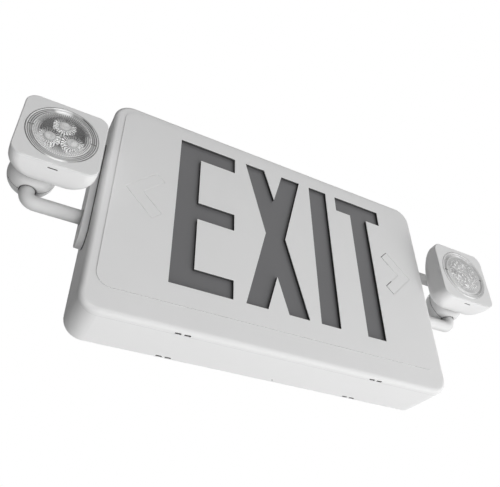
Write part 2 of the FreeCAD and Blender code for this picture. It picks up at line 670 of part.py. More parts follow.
def make_test_button():
    """Cap through the wall with a flange inside, pushed out by its spring."""
    cap = rod(BUTTON_R, (INNER_X - 1, RAIL_Y, BUTTON_Z), (1, 0, 0), WALL + BUTTON_PROUD + 1)
    cap = cap.makeFillet(0.8, [e for e in cap.Edges if e.Vertexes[0].Point.x > SIDE_X + BUTTON_PROUD - 0.01
                               and len(e.Vertexes) == 1])
    flange = rod(BUTTON_R + 1.2, (INNER_X - 1.5, RAIL_Y, BUTTON_Z), (1, 0, 0), 1.4)
    stem = rod(1.2, (SIDE_BOARD_X + SWITCH_T + BUTTON_TRAVEL + 0.2, RAIL_Y, BUTTON_Z), (1, 0, 0),
               SIDE_BOARD_GAP - SWITCH_T - BUTTON_TRAVEL - 0.2)
    return fuse_all([cap, flange, stem])


def make_button_spring():
    """Coil spring round the stem, between the switch and the flange."""
    x0 = SIDE_BOARD_X + SWITCH_T
    length = INNER_X - 1.5 - x0
    wire_r = 0.3
    coil_r = 2.3
    helix = Part.makeHelix((length - 2 * wire_r) / 3, length - 2 * wire_r, coil_r)
    start = helix.Vertexes[0].Point
    section = Part.Wire(Part.makeCircle(wire_r, start, Vec(0, 1, 0)))
    spring = Part.Wire(helix).makePipeShell([section], True, True)
    spring.rotate(Vec(0, 0, 0), Vec(0, 1, 0), 90)
    spring.translate(Vec(x0 + wire_r, RAIL_Y, BUTTON_Z))
    return spring


def make_status_lens():
    lens = rod(STATUS_R, (INNER_X - 0.8, RAIL_Y, STATUS_Z), (1, 0, 0), WALL + STATUS_PROUD + 0.8)
    lens = lens.makeFillet(0.7, [e for e in lens.Edges if e.Vertexes[0].Point.x > SIDE_X + STATUS_PROUD - 0.01
                                 and len(e.Vertexes) == 1])
    flange = rod(STATUS_R + 1, (INNER_X - 0.8, RAIL_Y, STATUS_Z), (1, 0, 0), 0.8)
    return lens.fuse(flange).removeSplitter()


# ---- side rails ----------------------------------------------------------------
# The left side is drawn; the right side is its mirror image.
def pad_layer(x0, x1, inset):
    """Slab with round ends on the side wall, from x0 out to x1."""
    r = PAD_W / 2 - inset
    reach = RAIL_HALF + PAD_MARGIN - PAD_W / 2
    low, high = Vec(x0, RAIL_Y, RAIL_MID_Z - reach), Vec(x0, RAIL_Y, RAIL_MID_Z + reach)
    edges = [Part.LineSegment(low + Vec(0, r, 0), high + Vec(0, r, 0)).toShape(),
             Part.Arc(high + Vec(0, r, 0), high + Vec(0, 0, r), high - Vec(0, r, 0)).toShape(),
             Part.LineSegment(high - Vec(0, r, 0), low - Vec(0, r, 0)).toShape(),
             Part.Arc(low - Vec(0, r, 0), low - Vec(0, 0, r), low + Vec(0, r, 0)).toShape()]
    return Part.Face(Part.Wire(edges)).extrude(Vec(x1 - x0, 0, 0))


def make_pad():
    foot_x, top_x = -SIDE_X - PAD_FOOT_T, -SIDE_X - PAD_T
    pad = pad_layer(foot_x, top_x, 0)
    rim = [e for e in pad.Edges if all(abs(v.Point.x - top_x) < 1e-4 for v in e.Vertexes)]
    pad = pad.makeFillet(PAD_EDGE_R, rim).fuse(pad_layer(-SIDE_X, foot_x, PAD_FOOT_IN))
    hole_r = RAIL_R + RAIL_FIT
    for z in RAIL_LEGS_Z:
        hole = rod(hole_r, (-SIDE_X + 1, RAIL_Y, z), (-1, 0, 0), PAD_T + 2)
        mouth = Part.makeCone(hole_r + RAIL_MOUTH, hole_r, RAIL_MOUTH, Vec(top_x, RAIL_Y, z), Vec(1, 0, 0))
        pad = pad.cut(hole.fuse(mouth))
    return pad


def rail_path():
    z0, z1 = RAIL_MID_Z - RAIL_HALF, RAIL_MID_Z + RAIL_HALF
    x_in, x_out, b = -INNER_X + RAIL_INSIDE, -BALL_X, RAIL_BEND
    k = b * (1 - math.sqrt(0.5))

    def spot(x, z):
        return Vec(x, RAIL_Y, z)
    return Part.Wire([
        Part.LineSegment(spot(x_in, z0), spot(x_out + b, z0)).toShape(),
        Part.Arc(spot(x_out + b, z0), spot(x_out + k, z0 + k), spot(x_out, z0 + b)).toShape(),
        Part.LineSegment(spot(x_out, z0 + b), spot(x_out, z1 - b)).toShape(),
        Part.Arc(spot(x_out, z1 - b), spot(x_out + k, z1 - k), spot(x_out + b, z1)).toShape(),
        Part.LineSegment(spot(x_out + b, z1), spot(x_in, z1)).toShape()])


def make_rail():
    path = rail_path()
    start = path.Vertexes[0].Point
    tubes = [path.makePipeShell([Part.Wire(Part.makeCircle(r, start, Vec(1, 0, 0)))], True, True)
             for r in (RAIL_R, RAIL_R - RAIL_T)]
    return tubes[0].cut(tubes[1])


def make_rail_nuts():
    nuts = []
    for z in RAIL_LEGS_Z:
        blank = hexagon(NUT_AF, (-INNER_X, RAIL_Y, z), (1, 0, 0), NUT_T)
        nuts.append(blank.cut(rod(RAIL_R, (-INNER_X - 1, RAIL_Y, z), (1, 0, 0), NUT_T + 2)))
    return Part.makeCompound(nuts)


# ---- swivel ball ----------------------------------------------------------------
BALL = Vec(-BALL_X, RAIL_Y, RAIL_MID_Z)


def make_ball_half(side):
    """Front (-1) or rear (1) half of the hollow ball that turns on the rail."""
    ball = Part.makeSphere(BALL_R, BALL)
    hollow = Part.makeSphere(BALL_R - BALL_WALL, BALL)
    sleeve = rod(RAIL_R + RUN_GAP + SLEEVE_T, (BALL.x, BALL.y, BALL.z - BALL_R), (0, 0, 1), 2 * BALL_R)
    solid = ball.cut(hollow).fuse(sleeve.common(ball))
    for s in (-1, 1):
        boss = rod(BALL_BOSS_R, (BALL.x + s * BALL_SCREW_X, BALL.y - BALL_R, BALL.z), (0, 1, 0), 2 * BALL_R)
        solid = solid.fuse(boss.common(ball))
    keep = BALL_R - BALL_FLAT
    y0, y1 = (BALL.y - BALL_R - 1, BALL.y) if side < 0 else (BALL.y, BALL.y + BALL_R + 1)
    half = solid.common(block(BALL.x - BALL_R - 1, BALL.x + BALL_R + 1, y0, y1, BALL.z - keep, BALL.z + keep))
    bore = RAIL_R + RUN_GAP
    cuts = [rod(bore, (BALL.x, BALL.y, BALL.z - BALL_R), (0, 0, 1), 2 * BALL_R)]
    for s in (-1, 1):
        cuts.append(Part.makeCone(bore + BALL_MOUTH, bore, BALL_MOUTH,
                                  BALL + Vec(0, 0, s * keep), Vec(0, 0, -s)))
    seam = rod(BALL_R + 1, (BALL.x, BALL.y - BALL_SEAM_W, BALL.z), (0, 1, 0), 2 * BALL_SEAM_W)
    cuts.append(seam.cut(rod(BALL_R - BALL_SEAM_D, (BALL.x, BALL.y - 1, BALL.z), (0, 1, 0), 2)))
    for s in (-1, 1):
        x = BALL.x + s * BALL_SCREW_X
        cuts.append(rod(BALL_SCREW_R, (x, BALL.y - 6, BALL.z), (0, 1, 0), BALL_R + 7))
        cuts.append(rod(BALL_HEAD_R + 0.1, (x, BALL.y + BALL_HEAD_SUNK, BALL.z), (0, 1, 0), BALL_R))
    if side < 0:
        reach = (BALL_R * math.sin(math.radians(TILT_LIMIT)) + STUD_R) * 1.05
        width = STUD_R + STUD_SLOT_GAP
        cuts.append(block(BALL.x - width, BALL.x + width, BALL.y - BALL_R - 1,
                          BALL.y - RAIL_R - RUN_GAP - SLEEVE_T - 1, BALL.z - reach, BALL.z + reach))
    return half.cut(Part.makeCompound(cuts)).removeSplitter()


def make_ball_screws():
    screws = []
    for s in (-1, 1):
        x = BALL.x + s * BALL_SCREW_X
        head = rod(BALL_HEAD_R, (x, BALL.y + BALL_HEAD_SUNK, BALL.z), (0, 1, 0), 1.8)
        shank = rod(BALL_SCREW_R, (x, BALL.y - 5, BALL.z), (0, 1, 0), BALL_HEAD_SUNK + 5)
        screws.append(head.fuse(shank))
    return Part.makeCompound(screws)


# ---- lamp head ----------------------------------------------------------------
HEAD_X = BALL.x + HEAD_SHIFT_X
HEAD_Z = BALL.z + HEAD_SHIFT_Z
FACE_Y = BALL.y + HEAD_FACE_Y
LENS_BACK_Y = FACE_Y + LENS_RECESS + LENS_T + LENS_SKIRT
CUP_R = BALL_R + CUP_GAP


def head_sections(inset):
    """Wires of the head's rounded back: depth, half width, top, bottom, corner radius."""
    h = HEAD_HALF
    back = -HEAD_FACE_Y - BALL_R + 3.0       # depth of the rearmost section
    front = HEAD_STRAIGHT
    run = back - front
    table = ((0.0, 1.0, 1.0, 1.0, 1.0), (0.34, 0.985, 0.9, 0.995, 1.2), (0.63, 0.93, 0.67, 0.97, 1.45),
             (0.85, 0.82, 0.4, 0.9, 1.5), (1.0, 0.6, 0.16, 0.75, 1.2))
    wires = []
    for k, wide, top, low, corner in table:
        y = FACE_Y + front + k * run - inset * k
        wires.append(outline(h * wide - inset, HEAD_Z - h * low + inset, HEAD_Z + h * top - inset,
                             HEAD_FACE_R * corner - inset * 0.8, y, HEAD_X))
    return wires


def head_form(inset):
    """Outer form of the head, or its hollow when inset by the wall."""
    h = HEAD_HALF - inset
    y0, y1 = FACE_Y + inset, FACE_Y + HEAD_STRAIGHT
    front = Part.Face(outline(h, HEAD_Z - h, HEAD_Z + h, HEAD_FACE_R - inset * 0.8, y0, HEAD_X))
    front = front.extrude(Vec(0, y1 - y0, 0))
    if not inset:
        front = front.makeFillet(HEAD_EDGE_R, edges_at_y(front, y0))
    return front.fuse(Part.makeLoft(head_sections(inset), True, False))


def make_head_shell():
    outer = head_form(0)
    shell = outer.cut(head_form(HEAD_WALL))
    boss_front = BALL.y - CUP_R - CUP_T
    boss = rod(CUP_BOSS_R, (BALL.x, boss_front, BALL.z), (0, 1, 0), 20).common(outer)
    seat_r = LENS_R + LENS_GAP
    ledge_r = REFLECTOR_RIM + REFLECTOR_T + 0.3
    ledge_y = LENS_BACK_Y + REFLECTOR_T - FACE_Y - HEAD_WALL
    seat = turned([(seat_r, 0), (seat_r + 1.6, 0), (seat_r + 1.6, ledge_y + SEAT_T),
                   (ledge_r, ledge_y + SEAT_T), (ledge_r, ledge_y), (seat_r, ledge_y)],
                  (HEAD_X, FACE_Y + HEAD_WALL, HEAD_Z))
    shell = shell.multiFuse([boss, seat])
    cuts = [Part.makeSphere(CUP_R, BALL),
            rod(LENS_R + LENS_GAP, (HEAD_X, FACE_Y - 1, HEAD_Z), (0, 1, 0), HEAD_WALL + 1.01),
            rod(STUD_R + RUN_GAP, (BALL.x, boss_front - 1, BALL.z), (0, 1, 0), 10)]
    slot_y = FACE_Y + HEAD_SLOT_BACK
    cuts.append(block(HEAD_X - HEAD_SLOT_W / 2, HEAD_X + HEAD_SLOT_W / 2, slot_y, slot_y + HEAD_SLOT_T,
                      HEAD_Z - HEAD_HALF - 1, HEAD_Z - HEAD_HALF + HEAD_WALL + 0.5))
    return shell.cut(Part.makeCompound(cuts)).removeSplitter()


def make_head_lens():
    """Clear lens: slightly domed face and a skirt that snaps into the seat."""
    r, t = LENS_R, LENS_T
    face = LENS_RECESS
    back = face + t
    skirt = back + LENS_SKIRT
    profile = [(0, face - LENS_DOME), (r * 0.4, face - LENS_DOME * 0.84), (r * 0.7, face - LENS_DOME * 0.5),
               (r - 1.2, face), (r, face + 0.6), (r, skirt), (r - 1.4, skirt), (r - 1.4, back),
               (r * 0.7, back - LENS_DOME * 0.5), (0, back - LENS_DOME)]
    return turned(profile, (HEAD_X, FACE_Y, HEAD_Z))


def optic_spots():
    """Middles of the three emitters, one above and two below."""
    return [(HEAD_X + OPTIC_RING * math.sin(math.radians(a)), HEAD_Z + OPTIC_RING * math.cos(math.radians(a)))
            for a in (0, 120, 240)]


def make_head_reflector():
    y0 = LENS_BACK_Y - FACE_Y
    y1 = y0 + REFLECTOR_DEPTH
    t = REFLECTOR_T
    profile = [(LENS_R - 0.1, y0), (REFLECTOR_RIM, y0), (REFLECTOR_BASE, y1 - t), (0, y1 - t), (0, y1),
               (REFLECTOR_BASE + 0.6, y1), (REFLECTOR_RIM + 0.4, y0 + t), (LENS_R - 0.1, y0 + t)]
    cup = turned(profile, (HEAD_X, FACE_Y, HEAD_Z))
    hole_r = OPTIC_FOOT_R + (OPTIC_R - OPTIC_FOOT_R) * REFLECTOR_T / OPTIC_L + 0.4
    holes = [rod(hole_r, (x, FACE_Y + y1 - 3, z), (0, 1, 0), 4) for x, z in optic_spots()]
    return cup.cut(Part.makeCompound(holes))


def make_head_optics():
    """Collimators that stand on the emitters."""
    back = LENS_BACK_Y + REFLECTOR_DEPTH
    cones = []
    for x, z in optic_spots():
        cone = Part.makeCone(OPTIC_FOOT_R, OPTIC_R, OPTIC_L, Vec(x, back, z), Vec(0, -1, 0))
        dimple = rod(OPTIC_EYE_R, (x, back - OPTIC_L - 1, z), (0, 1, 0), OPTIC_EYE_D + 1)
        cones.append(cone.cut(dimple))
    return Part.makeCompound(cones)


def make_head_board():
    y = LENS_BACK_Y + REFLECTOR_DEPTH
    return rod(REFLECTOR_BASE, (HEAD_X, y, HEAD_Z), (0, 1, 0), BOARD_T)


def make_head_stud():
    """Stud with a rounded cap held inside the ball, through the ball's slot into the head."""
    cap_r = BALL_R - BALL_WALL - CUP_GAP
    shell = Part.makeSphere(cap_r, BALL).cut(Part.makeSphere(cap_r - STUD_CAP_T, BALL))
    cap = shell.common(rod(STUD_CAP_R, (BALL.x, BALL.y, BALL.z), (0, -1, 0), BALL_R))
    end = BALL.y - CUP_R - CUP_T - 1 - NUT_T - 1.0
    shaft = rod(STUD_R, (BALL.x, end, BALL.z), (0, 1, 0), BALL.y - cap_r + STUD_CAP_T / 2 - end)
    return cap.fuse(shaft).removeSplitter()


def make_spring_washer():
    y = BALL.y - CUP_R - CUP_T - 1
    ring = rod(STUD_R + 3.2, (BALL.x, y, BALL.z), (0, 1, 0), 1)
    return ring.cut(rod(STUD_R + RUN_GAP, (BALL.x, y - 1, BALL.z), (0, 1, 0), 3))


def make_stud_nut():
    y = BALL.y - CUP_R - CUP_T - 1
    blank = hexagon(10.0, (BALL.x, y, BALL.z), (0, -1, 0), NUT_T)
    return blank.cut(rod(STUD_R, (BALL.x, y + 1, BALL.z), (0, -1, 0), NUT_T + 2))


def main():
    os.makedirs("parts", exist_ok=True)
    save("front_cover", make_front_cover())
    save("letter_diffuser", make_letter_diffuser())
    save("housing_frame", make_housing_frame())
    save("back_plate", make_back_plate())
    save("case_screws", make_case_screws())
    save("light_tray", make_light_tray())
    save("led_strip_top", make_led_strip(1))
    save("led_strip_bottom", make_led_strip(-1))
    save("main_board", make_main_board())
    save("board_screws", make_board_screws())
    save("transformer", make_transformer())
    save("battery_pack", make_battery_pack())
    save("battery_strap", make_battery_strap())
    save("terminal_block", make_terminal_block())
    save("side_board", make_side_board())
    save("test_switch", make_test_switch())
    save("test_button", make_test_button())
    save("button_spring", make_button_spring())
    save("status_lens", make_status_lens())
    sides = {"arm_pad": make_pad(), "arm_rail": make_rail(), "rail_nuts": make_rail_nuts(),
             "ball_front": make_ball_half(-1), "ball_rear": make_ball_half(1),
             "ball_screws": make_ball_screws(),
             "head_shell": make_head_shell(), "head_lens": make_head_lens(),
             "head_reflector": make_head_reflector(), "head_optics": make_head_optics(),
             "head_board": make_head_board(), "head_stud": make_head_stud(),
             "spring_washer": make_spring_washer(), "stud_nut": make_stud_nut()}
    for name, shape in sides.items():
        save("left_" + name, shape)
        save("right_" + name, shape.mirror(Vec(0, 0, 0), Vec(1, 0, 0)))


main()
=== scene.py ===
"""Emergency exit light: plastic finishes, lamp optics and a plain studio, laid out as an add-on."""
import json
import math

import bmesh
import bpy
from bpy.props import FloatProperty, FloatVectorProperty, IntProperty, PointerProperty
from bpy.types import Operator, Panel, PropertyGroup
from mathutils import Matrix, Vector


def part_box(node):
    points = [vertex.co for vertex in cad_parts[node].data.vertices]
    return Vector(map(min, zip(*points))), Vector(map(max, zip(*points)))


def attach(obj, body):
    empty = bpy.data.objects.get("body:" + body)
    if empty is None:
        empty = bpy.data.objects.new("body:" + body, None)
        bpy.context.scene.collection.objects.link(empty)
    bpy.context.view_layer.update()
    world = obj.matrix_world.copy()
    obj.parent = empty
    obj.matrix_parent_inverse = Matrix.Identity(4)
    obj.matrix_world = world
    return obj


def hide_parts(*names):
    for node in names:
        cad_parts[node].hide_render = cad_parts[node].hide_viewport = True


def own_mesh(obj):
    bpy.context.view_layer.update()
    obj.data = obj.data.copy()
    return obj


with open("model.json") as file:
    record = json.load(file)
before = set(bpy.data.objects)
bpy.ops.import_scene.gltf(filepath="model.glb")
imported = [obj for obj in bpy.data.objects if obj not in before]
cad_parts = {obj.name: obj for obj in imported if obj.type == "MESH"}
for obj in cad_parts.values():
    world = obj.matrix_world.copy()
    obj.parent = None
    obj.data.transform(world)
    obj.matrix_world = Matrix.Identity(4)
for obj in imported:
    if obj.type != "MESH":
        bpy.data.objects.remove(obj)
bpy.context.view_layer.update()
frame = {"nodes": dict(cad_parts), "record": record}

bl_info = {
    "name": "Emergency exit light",
    "version": (1, 0, 0),
    "blender": (4, 5, 0),
    "location": "3D View > Sidebar > Exit light",
    "description": "Finishes the housing, arms and lamp heads of an exit sign and lights it",
    "category": "Object",
}

MM = 0.001
SIDES = ("left", "right")

# Plastic, with painted shade in crevices and where large forms meet
CREVICE_STOPS = [(0.28, 0.0), (0.75, 1.0)]                  # openness to light, in narrow crevices
CONTACT_STOPS = [(0.25, 0.0), (0.55, 0.6), (0.95, 1.0)]     # the same where large forms meet
CREVICE_REACH = 2.5 * MM
CONTACT_REACH = 8.0 * MM
CREVICE_SHADE = 0.12     # share of the colour left in a crevice
SHEEN = 0.14             # specular level
SHELL_GLOSS = 0.55       # roughness before the grain adds to it
HEAD_GLOSS = 0.6
ARM_GLOSS = 0.5
FINE_GRAIN = 0.7         # grain of heads and arms, as a share of the shell's

# Places on the shell; "across" is along X and "up" along Z, from its middle
COVER_SEAM = 6.0 * MM              # front face to the joint of cover and frame
SEAM_LINE = 0.18 * MM
# the ends of the frame's rear fingers, seen in the rear windows, get painted shade
FINGER_ENDS = 5.12 * MM            # wall face to where the frame's rear fingers turn darker
# snap windows, whose walls get painted shade
SNAP_MIDDLE = 84.5 * MM            # middle of a pair of snap windows
SNAP_HALF_PITCH = 3.6 * MM
WINDOW_HALF_WIDTH = 2.5 * MM
WINDOW_HALF_DEPTH = 0.94 * MM
WINDOW_SKIN = 0.12 * MM            # outer surface to the start of the dark walls
WINDOW_DEEP = 3.0 * MM             # and to their end
WINDOW_FROM_FACE = 4.4 * MM        # front face to the middle of the front windows
WINDOW_FROM_WALL = 3.4 * MM        # wall face to the middle of the rear windows
WORD_ACROSS = (-103 * MM, 119 * MM)
WORD_UP = (-70 * MM, 88 * MM)
PANEL_ACROSS = (-149 * MM, 149 * MM)
PANEL_UP = (-81 * MM, 94 * MM)
PANEL_STEP = (0.03 * MM, 0.47 * MM)    # depths of the panel's wall behind the face
# the letters' edges get painted shade from this depth back
CUT_EDGE_START = 0.35 * MM             # face to the dark part of the letters' edges
DIFFUSER_OVERLAP = 0.05 * MM
# the cover's lower rounding gets painted shade that narrows its highlight
ROUNDING_HEIGHT = 4.0 * MM             # lower rounding of the cover
ROUNDING_DEPTH = 5.0 * MM
ROUNDING_SHADE = 0.1

# Places on a lamp head's shell, where shade is painted in the slot and on the face's rounding
SLOT_HALF = 3.55 * MM
SLOT_BACK = 4.6 * MM                   # front face to the slot
SLOT_DEPTHS = (-0.6 * MM, 1.6 * MM)    # about there, along Y
SLOT_LIFTS = (0.08 * MM, 3.0 * MM)     # above the underside
HEAD_ROUNDING = (0.04 * MM, 1.0 * MM)  # behind the front face
HEAD_ROUNDING_SHADE = 0.86

# Lamp optics
EMITTER_TURNS = (0, 120, 240)          # degrees, the first one on top
FACETS_PER_RIB = 6
FACETS_PER_PETAL = 8
DISC_SEGMENTS = 48
LENS_DOME = 1.2 * MM
LENS_SKIRT = 1.4 * MM
RIB_HEIGHT = 0.2 * MM

BLACK = (0.0, 0.0, 0.0)
WHITE = (1.0, 1.0, 1.0)
NEAR_CLEAR = (0.97, 0.97, 0.97, 1.0)
FLOOR_HALF = 8.0


# ---- what a user would change -----------------------------------------------------
def colour_property(name, description, default):
    return FloatVectorProperty(name=name, description=description, default=default, subtype="COLOR",
                               size=3, min=0.0, max=1.0)


class ExitLightPlastics(PropertyGroup):
    """Colours, painted shades and grain of the moulded parts"""
    shell_colour: colour_property("Shell", "Housing plastic", (0.78, 0.78, 0.78))
    head_colour: colour_property("Lamp heads", "Plastic of the heads", (0.78, 0.78, 0.78))
    arm_colour: colour_property("Arms", "Plastic of the balls and rails", (0.66, 0.66, 0.66))
    letter_colour: colour_property("Letters", "Unlit sheet behind the letters", (0.13, 0.13, 0.134))
    # painted shade on the letter edges, the snap window walls and the walls of the heads' slots
    cut_edge_shade_colour: colour_property("Cut edges", "Shaded edge of the letter openings", (0.055, 0.055, 0.055))
    # painted shade on the wall round the panel
    step_shade_colour: colour_property("Panel step", "Shaded wall round the raised panel", (0.3, 0.3, 0.3))
    # dark joint lines, and painted shade on the frame's rear fingers
    seam_and_shade_colour: colour_property("Seams", "Shaded joint lines of the shell", (0.5, 0.5, 0.5))
    grain_size: FloatProperty(name="Grain size", description="Width of the spark-eroded grain",
                              default=0.55 * MM, unit="LENGTH")
    grain_depth: FloatProperty(name="Grain depth", description="Height of the grain", default=0.012 * MM,
                               unit="LENGTH")


class ExitLightOptics(PropertyGroup):
    """Sizes of the clear and mirrored lamp parts"""
    rib_count: IntProperty(name="Ribs", description="Radial ribs round the lens", default=90, min=12)
    ring_count: IntProperty(name="Rings", description="Fine rings across the lens radius", default=36, min=12)
    flute_count: IntProperty(name="Flutes", description="Flutes round the reflector", default=84, min=12)
    petal_count: IntProperty(name="Petals", description="Flutes round each collimator", default=16, min=6)
    emitter_ring: FloatProperty(name="Emitter ring", description="Lens middle to each emitter",
                                default=9.6 * MM, unit="LENGTH")
    disc_radius: FloatProperty(name="Collimator disc", description="Frosted disc of a collimator",
                               default=4.3 * MM, unit="LENGTH")
    bell_radius: FloatProperty(name="Collimator bell", description="Clear rim of a collimator",
                               default=8.9 * MM, unit="LENGTH")
    bell_gap: FloatProperty(name="Bell gap", description="Gap where two bells are cut back to each other",
                            default=0.5 * MM, unit="LENGTH")


class ExitLightStudio(PropertyGroup):
    """Camera and lamps"""
    camera_place: FloatVectorProperty(name="Camera place", description="Where the camera stands",
                                      default=(-0.209615, -0.374262, -0.29624), subtype="TRANSLATION", size=3)
    camera_turn: FloatVectorProperty(name="Camera turn", description="Camera rotation in degrees",
                                     default=(127.732, 0.464, -27.968), size=3)
    camera_lens: FloatProperty(name="Lens", description="Focal length in millimetres on a 36 mm sensor",
                               default=40.65)
    key_power: FloatProperty(name="Key", description="Power of the key lamp in watts", default=49.0)
    key_place: FloatVectorProperty(name="Key place", description="Where the key lamp stands",
                                   default=(0.75, -1.1, -1.42), subtype="TRANSLATION", size=3)
    key_size: FloatProperty(name="Key size", description="Width of the key lamp", default=2.6, unit="LENGTH")
    fill_power: FloatProperty(name="Fill", description="Power of the lamp behind and above, in watts",
                              default=36.0)
    fill_place: FloatVectorProperty(name="Fill place", description="Where the fill lamp stands",
                                    default=(0.9, 1.3, 1.2), subtype="TRANSLATION", size=3)
    sky_level: FloatProperty(name="Sky", description="Light from all round", default=0.19)
    sky_side: FloatVectorProperty(name="Sky side", description="Where the sky is brightest",
                                  default=(0.6, -0.65, 0.0), subtype="DIRECTION", size=3)
    floor_drop: FloatProperty(name="Floor", description="Origin to the floor", default=2.4, unit="LENGTH")


# ---- shader maths -------------------------------------------------------------------
class Signal:
    """A shader socket that works in sums: 1 - mask adds the Math node that it needs."""

    def __init__(self, paint, socket):
        self.paint = paint
        self.socket = socket

    def _math(self, operation, first, second):
        return self.paint.maths(operation, first, second)

    def __add__(self, other):
        return self._math("ADD", self, other)

    def __radd__(self, other):
        return self._math("ADD", other, self)

    def __sub__(self, other):
        return self._math("SUBTRACT", self, other)

    def __rsub__(self, other):
        return self._math("SUBTRACT", other, self)

    def __mul__(self, other):
        return self._math("MULTIPLY", self, other)

    def __rmul__(self, other):
        return self._math("MULTIPLY", other, self)

    def __gt__(self, other):
        return self._math("GREATER_THAN", self, other)

    def __lt__(self, other):
        return self._math("LESS_THAN", self, other)


class Paint:
    """One material, or a world where kept_in is bpy.data.worlds. Its nodes are added as they are used."""

    def __init__(self, name, kept_in=None):
        self.owner = (bpy.data.materials if kept_in is None else kept_in).new(name)
        self.owner.use_nodes = True
        self.tree = self.owner.node_tree
        self.tree.nodes.clear()

    def add(self, kind, settings=None, inputs=None, output=0):
        """Adds a node, sets it, feeds its sockets and returns one of its outputs."""
        node = self.tree.nodes.new(kind)
        for key, value in (settings or {}).items():
            if key == "stops":
                ramp = node.color_ramp
                while len(ramp.elements) < len(value):
                    ramp.elements.new(0.5)
                for element, (position, level) in zip(ramp.elements, value):
                    element.position = position
                    element.color = (level, level, level, 1.0)
            else:
                setattr(node, key, value)
        for key, value in (inputs or {}).items():
            if isinstance(value, Signal):
                self.tree.links.new(value.socket, node.inputs[key])
            else:
                node.inputs[key].default_value = value
        return Signal(self, node.outputs[output]) if node.outputs else None

    def place(self):
        return self.add("ShaderNodeTexCoord", output="Object")

    def axis(self, letter):
        return self.add("ShaderNodeSeparateXYZ", inputs={0: self.place()}, output=letter)

    def maths(self, operation, first, second=0.0):
        return self.add("ShaderNodeMath", {"operation": operation}, {0: first, 1: second})

    def size(self, value):
        return self.maths("ABSOLUTE", value)

    def wave(self, phase):
        """0 to 1 and back as the phase grows."""
        return self.maths("SINE", phase) * 0.5 + 0.5

    def dial(self):
        """Place on a round piece: across and up from its middle, reach (1 at the rim) and turn."""
        spot = self.add("ShaderNodeTexCoord", output="Generated")
        across = self.add("ShaderNodeSeparateXYZ", inputs={0: spot}, output="X") * 2.0 - 1.0
        up = self.add("ShaderNodeSeparateXYZ", inputs={0: spot}, output="Z") * 2.0 - 1.0
        reach = self.maths("SQRT", across * across + up * up)
        return across, up, reach, self.maths("ARCTAN2", across, up)

    def noise(self, width, detail=2.0, roughness=0.5):
        """Noise whose features are about width metres across."""
        return self.add("ShaderNodeTexNoise", inputs={"Vector": self.place(), "Scale": 1.0 / width,
                                                      "Detail": detail, "Roughness": roughness})

    def crevice(self, reach):
        """1 where the surface is open and 0 where others crowd it within reach."""
        return self.add("ShaderNodeAmbientOcclusion", {"samples": 8}, {"Distance": reach}, output="AO")

    def ramp(self, value, stops):
        return self.add("ShaderNodeValToRGB", {"stops": stops}, {0: value})

    def blend(self, mask, first, second):
        """Colour that is first where mask is 0 and second where it is 1."""
        ends = [colour if isinstance(colour, Signal) else (*colour, 1.0) for colour in (first, second)]
        return self.add("ShaderNodeMix", {"data_type": "RGBA"}, {0: mask, 6: ends[0], 7: ends[1]}, output=2)

    def bump(self, height, depth):
        inputs = {"Height": height, "Strength": 1.0, "Distance": depth}
        return self.add("ShaderNodeBump", inputs=inputs, output="Normal")

    def clear(self):
        return self.add("ShaderNodeBsdfTransparent", inputs={"Color": NEAR_CLEAR})

    def grazing(self, blend):
        """0 where a clear surface is seen face on, 1 at its edge. It feeds only Mix Shader factors."""
        return self.add("ShaderNodeLayerWeight", inputs={"Blend": blend}, output="Facing")

    def mix_shaders(self, factor, first, second):
        return self.add("ShaderNodeMixShader", inputs={0: factor, 1: first, 2: second})

    def surface(self, **sockets):
        """Principled surface; the keywords are socket names with _ for spaces."""
        return self.add("ShaderNodeBsdfPrincipled",
                        inputs={key.replace("_", " "): value for key, value in sockets.items()})

    def done(self, shader):
        self.add("ShaderNodeOutputMaterial", inputs={"Surface": shader})
        return self.owner


# ---- finishes ----------------------------------------------------------------------
def scaled(colour, factor):
    return tuple(min(channel * factor, 1.0) for channel in colour)


def grey(level):
    return (level, level, level)


def between(value, low, high):
    """1 where value lies between two numbers."""
    return (value > low) * (value < high)


def drifting_colour(paint, colour):
    """Colour that drifts slowly over the piece."""
    return paint.blend(paint.noise(45 * MM, 3.0), scaled(colour, 0.98), scaled(colour, 1.02))


def plastic_with_painted_shade(paint, colour, reach=CREVICE_REACH, stops=CREVICE_STOPS):
    """Drifting colour with painted shade where other surfaces crowd it within reach."""
    base = drifting_colour(paint, colour)
    # painted shade: the colour darkens where ambient occlusion finds other surfaces close by
    open_air = paint.ramp(paint.crevice(reach), stops)
    return paint.blend(open_air, scaled(colour, CREVICE_SHADE), base)


def grained(paint, base, plastics, gloss=SHELL_GLOSS, fineness=1.0):
    """Plastic surface with spark-eroded grain."""
    grain = paint.noise(plastics.grain_size * fineness, 4.0, 0.6)
    patch = paint.noise(9 * MM)
    return paint.done(paint.surface(Base_Color=base, Roughness=gloss + patch * 0.08 + grain * 0.06,
                                    Normal=paint.bump(grain, plastics.grain_depth * fineness),
                                    Specular_IOR_Level=SHEEN))


def pad_plastic(name, plastics):
    """Shell plastic with painted shade in its crevices."""
    paint = Paint(name)
    return grained(paint, plastic_with_painted_shade(paint, plastics.shell_colour), plastics)


def arm_plastic(name, plastics):
    """Finer plastic, with wide soft painted shade where balls, rails, heads and pads meet."""
    paint = Paint(name)
    base = plastic_with_painted_shade(paint, plastics.arm_colour, CONTACT_REACH, CONTACT_STOPS)
    return grained(paint, base, plastics, ARM_GLOSS, FINE_GRAIN)


def frame_plastic(name, plastics):
    """Plastic of the frame: a dark line at its joint with the cover and painted shade on the ends of its rear
    fingers.
    """
    paint = Paint(name)
    depth = paint.axis("Y")
    seam_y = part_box("front_cover")[0].y + COVER_SEAM
    # a dark joint line at the cover, and painted shade on the ends of the rear fingers
    shaded = (depth < seam_y + SEAM_LINE) + (depth > -FINGER_ENDS)
    base = paint.blend(shaded, plastic_with_painted_shade(paint, plastics.shell_colour), plastics.seam_and_shade_colour)
    return grained(paint, base, plastics)


